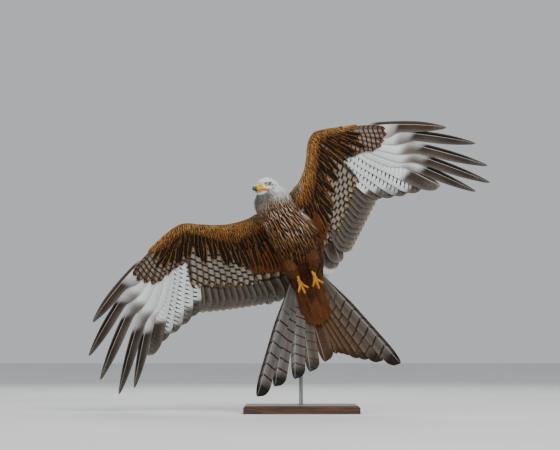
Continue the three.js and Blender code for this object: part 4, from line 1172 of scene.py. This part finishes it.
for wing in WINGS:
    flight_feathers(wing)
    alula(wing)
    armpit(wing)
    small_coverts(wing, False)
    front_edge(wing, small_coverts(wing, True))


# The tail

def tail_vane(sign, k, degrees, length, level, bow):
    turn = math.radians(degrees)
    start = TAIL_SPACING * (k + 0.5)
    outer, inner = blunt(11.0, 0.8), blunt(29.0, 0.9)

    def place(u, v, lift):
        half = np.where(u > 0, outer(v), inner(v))
        aside = u * half + bow * (v - v * v)
        s = v * length
        x = start + math.sin(turn) * s + math.cos(turn) * aside
        y = math.cos(turn) * s - math.sin(turn) * aside
        return on_tail(sign * x, y, level + lift - 0.04 * np.abs(u * half) * np.abs(u))
    return place


def tail_paint(k, sign):
    """Pale and narrowly barred below on the outer feathers, rufous brown in the middle and above."""
    side = float(ease(np.array(k + (0.0 if sign > 0 else -1.2)), 0.5, 3.5))
    plain, inner_web = (tint("5c5755"), 0.5) if sign > 0 else (tint("4d443b"), 0.22)

    def paint(u, v, above):
        tip = ease(v, 0.83, 0.93)
        if above:
            base = mix(RUFOUS, ORANGE, 0.35)
            bars = (9.0, 0.5 * side, k)
            return blend(base, DUSK, tip * 0.5), mix(base, RUSSET, 0.4), UMBER, bars, 0.0, 0.06
        base = mix(tint("4a2f1c"), plain, side)
        base = blend(base, tint("918f8d"), inner_web * side * ease(u, -0.6, 0.0) * (1 - ease(u, 0.3, 0.8)))
        base = blend(base, tint("130e0d"), tip * (0.3 + 0.65 * side))
        if k == 5:
            base = blend(base, BLACK, ease(u, 0.25, 0.6) * 0.9)
        edge = blend(base, tint("a08870"), 0.2 * (1 - 0.9 * tip))
        return base, edge, tint("1c1511"), (10.5, mix(0.12, 0.95, side) * ease(v, 0.2, 0.3), k), 0.0, 0.5
    return paint


def tail_covert(t, turn, down, reach, level, sink, half, jog):
    """One feather of the rows over the tail's root, t from -1 to 1 across it."""
    arch, camber, width = (7 if level < 0 else -4), np.sign(level) * 0.03, blunt(half, 0.6)

    def place(u, v, lift):
        aside = u * width(v)
        s = v * reach
        return on_tail(t * 27 + math.sin(turn) * s + math.cos(turn) * aside,
                       down + math.cos(turn) * s - math.sin(turn) * aside,
                       level + jog + (t * t) * arch + sink * v * 2.0 + lift - camber * aside**2 / half)
    return place


under, over = Pile(), Pile()
for sign, fan, reach in TAIL_SIDES:
    for k, degrees in enumerate(fan):
        level, bow = -1.2 * (2 * k + (sign < 0)), 2.0 if k > 3 else 3.0
        vane = tail_vane(sign, k, degrees, TAIL_LENGTHS[k] * reach, level, bow)
        big_vane(under, over, vane, tail_paint(k, sign), strip_of(k + (6 if sign < 0 else 0), 12), 52)
under.build("tail_under", TAIL, "feather_tail")
over.build("tail_over", TAIL, "feather_tail")

pile = Pile()
for count, long, level, sink, half, down in TAIL_COVERTS:
    for k in range(count):
        t = -1 + 2 * k / (count - 1)
        turn = math.radians(9 * t + 3 if level < 0 else 11 * t + 2)
        reach = long * (1 - 0.3 * t * t) * (1 + random.normal(0, 0.03))
        place = tail_covert(t, turn, down, reach, level, sink, half, random.normal(0, 0.35))
        warm = mix(RUFOUS, RUSSET, 0.3 + 0.5 * random.random())
        paint = lambda u, v, above: (blend(warm, ORANGE, 0.15 * ease(v, 0.85, 1)), mix(warm, ORANGE, 0.15),
                                     UMBER, (0, 0, 0), 0.06, 0.0)
        strip = (k / count, down / 30, (k + 0.9) / count, down / 30 + 0.15)
        big_vane(pile, pile, place, paint, strip, 18, 0.5)
pile.build("tail_coverts", SMALL, "feather_rufous")


# Cere, bill, eyes and lids

def bare(name, forms, material, slot, *replaces):
    """A piece of bare forms, without the feathers' map."""
    pile = Pile()
    for form in forms:
        pile.add(*form)
    pile.build(name, material, slot, replaces, baked=False)


a = mix(24, 44, np.linspace(0, 1, 26))
up, wide, high = smooth(CERE, a)[..., None].transpose(1, 0, 2)
form = tube(on_head(a, up[:, 0], 0), HEAD_LEFT * wide, HEAD_UP * high, 32)
bare("cere_skin", [form], CERE_SKIN, "skin_yellow", "cere")


def bill_half(name, top, node):
    s = np.linspace(0, 1, 40)
    drop = BILL["hook"] * s**2.4 if top else 2.5 * s**2
    reach = BILL["root"] + s * BILL["length"] * (1.0 if top else 0.6) - (3 * s**4 if top else 0)
    centres = on_head(reach, (-3.4 if top else BILL["chin"]) - drop, 0)
    taper = np.sqrt(np.maximum(0.012, 1 - s ** (2.2 if top else 3)))[:, None]
    turn = (1.15 * s**2 if top else 0 * s)[:, None]
    wide = BILL["half_width"] * taper * (1 if top else 0.86)
    high = (BILL["half_height"] if top else 3.2) * taper
    up = HEAD_UP * np.cos(turn) + HEAD_AHEAD * np.sin(turn)
    bare(name, [tube(centres, HEAD_LEFT * wide, up * high, 28)], HORN, "bill", node)


bill_half("bill_upper_fine", True, "bill_upper")
bill_half("bill_lower_fine", False, "bill_lower")

def path(rows, c, up=0, out=(0,) * 5):
    """A line on the left of the head for c = 1 and on its right for -1, moved up and out."""
    return [on_head(a, b + up, c * (w + e)) for (a, b, w), e in zip(rows, out)]


lips, slits = [], []
for c in (1, -1):
    lips.append(limb(path(MOUTH, c), (2.2, 2.4, 1.9, 1.0, 0.25), 14, 40))
    lips.append(limb(path(MOUTH[:4], c, -3.4, (-0.4,) * 4), (1.3, 1.4, 0.9, 0.25), 10, 30))
    slits.append(limb(path(MOUTH, c, -2.1, (1.3, 1.3, 1.2, 0.5, 0.2)), (0.6, 0.8, 0.6, 0.35, 0.2), 8, 30))
    slits.append(limb(path(SLIT, c), (0.6, 1.5, 0.6), 10, 8, high=0.7))
bare("gape", lips, GAPE_SKIN, "skin_yellow")
bare("nostrils", slits, NOSTRIL, "skin_yellow")

for c, name in ((1, "left"), (-1, "right")):
    middle = on_head(EYE["ahead"], EYE["up"], c * EYE["out"])
    look = unit(HEAD_LEFT * c + HEAD_AHEAD * 0.22)
    across = unit(np.cross(HEAD_UP, look))
    upward = np.cross(look, across)
    # The eyeball: rings from the middle of the pupil backward, with a slightly proud cornea
    lat = np.linspace(0.02, math.pi - 0.02, 40)
    proud = EYE["radius"] + 0.5 * np.maximum(0, 1 - (lat / 0.75) ** 2)
    centres = middle + look * (np.cos(lat) * proud)[:, None]
    ring = (np.sin(lat) * proud)[:, None]
    ball = tube(centres, across * ring, upward * ring, 40)
    ball[2][:, 1] = np.concatenate([np.repeat(lat / math.pi, 40), [0, 1]])
    bare("eyeball_" + name, [ball], IRIS, "eye", "eye_" + name)
    # The lids: a soft rim all round, heavier above
    sides, turns = 48, 10
    around = np.linspace(0, TAU, sides, endpoint=False)
    rim = 6.1 + 0.25 * np.cos(2 * around)
    heavy = 1.05 + 0.5 * ease(np.sin(around), 0, 1)
    rings = []
    for q in np.linspace(0, TAU, turns, endpoint=False):
        r = rim + heavy * np.cos(q) - 0.3 * ease(np.sin(around), 0.2, 1)
        rings.append(middle + look * (3.6 + heavy * np.sin(q) - 0.05 * r)[:, None]
                     + across * (r * np.cos(around))[:, None] + upward * (r * np.sin(around))[:, None])
    rings = np.stack(rings, 1)
    number = np.arange(sides * turns).reshape(sides, turns)
    ahead, beside = np.roll(number, -1, 0), np.roll(number, -1, 1)
    faces = np.stack([number, ahead, np.roll(ahead, -1, 1), beside], -1).reshape(-1, 4)
    bare("lids_" + name, [(rings.reshape(-1, 3), [faces])], LID_SKIN, "skin_yellow")

# The brows, over the eyes: a dark grey-brown core that shows between the feathers as painted shade under the
# brow
pile = Pile()
brows = [path(BROW, c) for c in (1, -1)]
for line in brows:
    pile.add(*limb(line, BROW_RADII, 14, 30), Base=tint("5c554d"))
pile.build("brows", DOWN, "feather_pale", baked=False)
pile = Pile()
for line in brows:
    count = 420
    t = np.sort(random.uniform(0.0, 0.93, count))
    centre = curve(line, t)
    way = unit(curve(line, t + 0.03) - curve(line, t - 0.03))
    out = unit(HEAD_LEFT * np.sign(np.sum(centre - HEAD_AT, 0) @ HEAD_LEFT) + 0 * way)
    spin = random.uniform(-1.5, 1.9, count)
    upward = unit(np.cross(way, out))
    upward = upward * np.sign(upward @ HEAD_UP)[:, None]
    up = unit(out * np.cos(spin)[:, None] + upward * np.sin(spin)[:, None])
    radius = np.interp(t, np.linspace(0, 1, 4), BROW_RADII)
    light = mix(WHITE, PALE, random.random((count, 1)) * 0.6)
    # Feathers turned down under the brow are darker: painted shade under its overhang.
    tone = blend(light, mix(UMBER, DUSK, random.random((count, 1))), ease(-spin, -0.35, 0.7) * 0.9)
    lay(pile, centre + up * (radius - 0.3)[:, None], way, up, 4.2, 0.55,
        (tone, mix(tone, WHITE, 0.2), BLACK, 0), np.stack([t, spin / 6 + 0.5], -1),
        point=0.9, sink=0.3, proud=0.5, rows=5, columns=3)
pile.build("coat_brows", TINY, "feather_pale")

# Dark bristly feathers before and behind each eye
pile = Pile()
for c in (1, -1):
    count = 520
    ahead = random.random(count) < 0.6
    a = EYE["ahead"] + np.where(ahead, random.uniform(6.8, 14, count), random.uniform(-13, -6.8, count))
    b = EYE["up"] + random.normal(0, 1.0, count) * np.where(ahead, 2.6, 1.6) + np.where(ahead, -0.8, -1.2)
    centre, _, high = columns_of(SKULL, a)
    turn = np.arccos(np.clip((b - centre) / high, -1, 1)) * c
    light = mix(GREY, WHITE, random.random((count, 1)) * 0.7)
    dark = mix(light, UMBER, np.where(ahead, 0.2, 0.7)[:, None] * random.random((count, 1)))
    lay(pile, *frame_on(head, a, turn, -0.7), 6.2, 0.36, (dark, mix(dark, PALE, 0.25), BLACK, 0),
        np.stack([turn / ROUND, (a + 50) / 90], -1), point=0.9, sink=0.4, proud=1.0, rows=5, columns=3)
pile.build("coat_eye_patch", TINY, "feather_pale")

# Legs, feet and claws

for leg in LEGS:
    side = leg["name"]
    heel, foot = np.array(leg["heel"], float), np.array(leg["foot"], float)
    shank = limb([heel + (foot - heel) * -0.5, heel, (heel + foot) / 2, foot], (4.6, 4.9, 4.5, 5), 20, 40)
    t = np.linspace(-1, 1, 16)
    ring = np.sqrt(np.maximum(0.01, 1 - t**2))[:, None] * 6.2
    forms = [shank, tube(foot + Z * t[:, None] * 5.6, X * ring, Y * ring, 20)]
    for k, (degrees, share, high, long) in enumerate(TOES):
        turn = math.radians(degrees)
        out = np.array([math.sin(turn) * -leg["sign"], -math.cos(turn), 0])
        length = LONGEST_TOE * share
        tip = foot + out * length * 0.86 + Z * high
        bones = [foot, foot + out * length * 0.45 + Z * (high / 2 - 7),
                 foot + out * length * 0.8 + Z * (high - 7), tip]
        s = np.linspace(0, 1, 60)
        pads = 1 + 0.1 * np.abs(np.sin(s * math.pi * 3.5)) + 0.05 * np.sin(s * 100)
        forms.append(limb(bones, (3.3, 3.0, 2.7), 18, len(s), wide=0.95, swell=pads))
        line = [tip, tip - out * 0.3 * long + Z * 0.3 * long, tip - out * 0.85 * long + Z * 0.25 * long]
        claw = limb(line, (2.3, 1.9, 1.1, 0.3), 14, 26)
        bare(f"talon_{side}_{k + 1}", [claw], CLAW_HORN, "claw", f"claw_{side}_{k + 1}")
    bare("toes_" + side, forms, YELLOW, "skin_yellow", "foot_" + side)

# The stand keeps its own solids
for node, material in (("stand_base", wood_material()), ("stand_rod", steel_material())):
    for slot in frame["nodes"][node].material_slots:
        slot.material = material

# Floor, light and camera
bpy.ops.mesh.primitive_plane_add(size=60, location=(0, 0, 0))
floor = bpy.context.object
floor.name = "floor"
floor.data.materials.append(floor_material())

sky = bpy.data.worlds.new("studio")
bpy.context.scene.world = sky
sky.use_nodes = True
for socket, value in zip(sky.node_tree.nodes["Background"].inputs, ((0.93, 0.96, 1.0, 1), 0.55)):
    socket.default_value = value


def lamp(name, place, aim, energy, size):
    data = bpy.data.lights.new(name, "AREA")
    data.energy = energy
    data.size = size
    made = bpy.data.objects.new(name, data)
    made.location = place
    made.rotation_euler = (Vector(aim) - Vector(place)).to_track_quat("-Z", "Y").to_euler()
    bpy.context.scene.collection.objects.link(made)


lamp("key", (1.6, -2.4, 3.4), (0, 0, 0.45), 125, 1.8)
lamp("fill", (-2.8, -2.6, 1.2), (0, 0, 0.45), 30, 2.6)
lamp("rim", (-0.4, 2.6, 2.8), (0, 0, 0.5), 50, 2.0)

# The photograph shows 560 by 450 points of 2.8 mm, with the bird's origin at (297, 245)
SENSOR, PHOTO_WIDTH, FAR = 36, 1.568, 4.2
look = np.cross(RISE, X)
target = BIRD_AT * MM - 0.0476 * X + 0.056 * RISE
data = bpy.data.cameras.new("camera")
data.lens = SENSOR * FAR / PHOTO_WIDTH
camera = bpy.data.objects.new("camera", data)
camera.location = target - look * FAR
camera.rotation_euler = Vector(look).to_track_quat("-Z", "Y").to_euler()
bpy.context.scene.collection.objects.link(camera)
bpy.context.scene.camera = camera
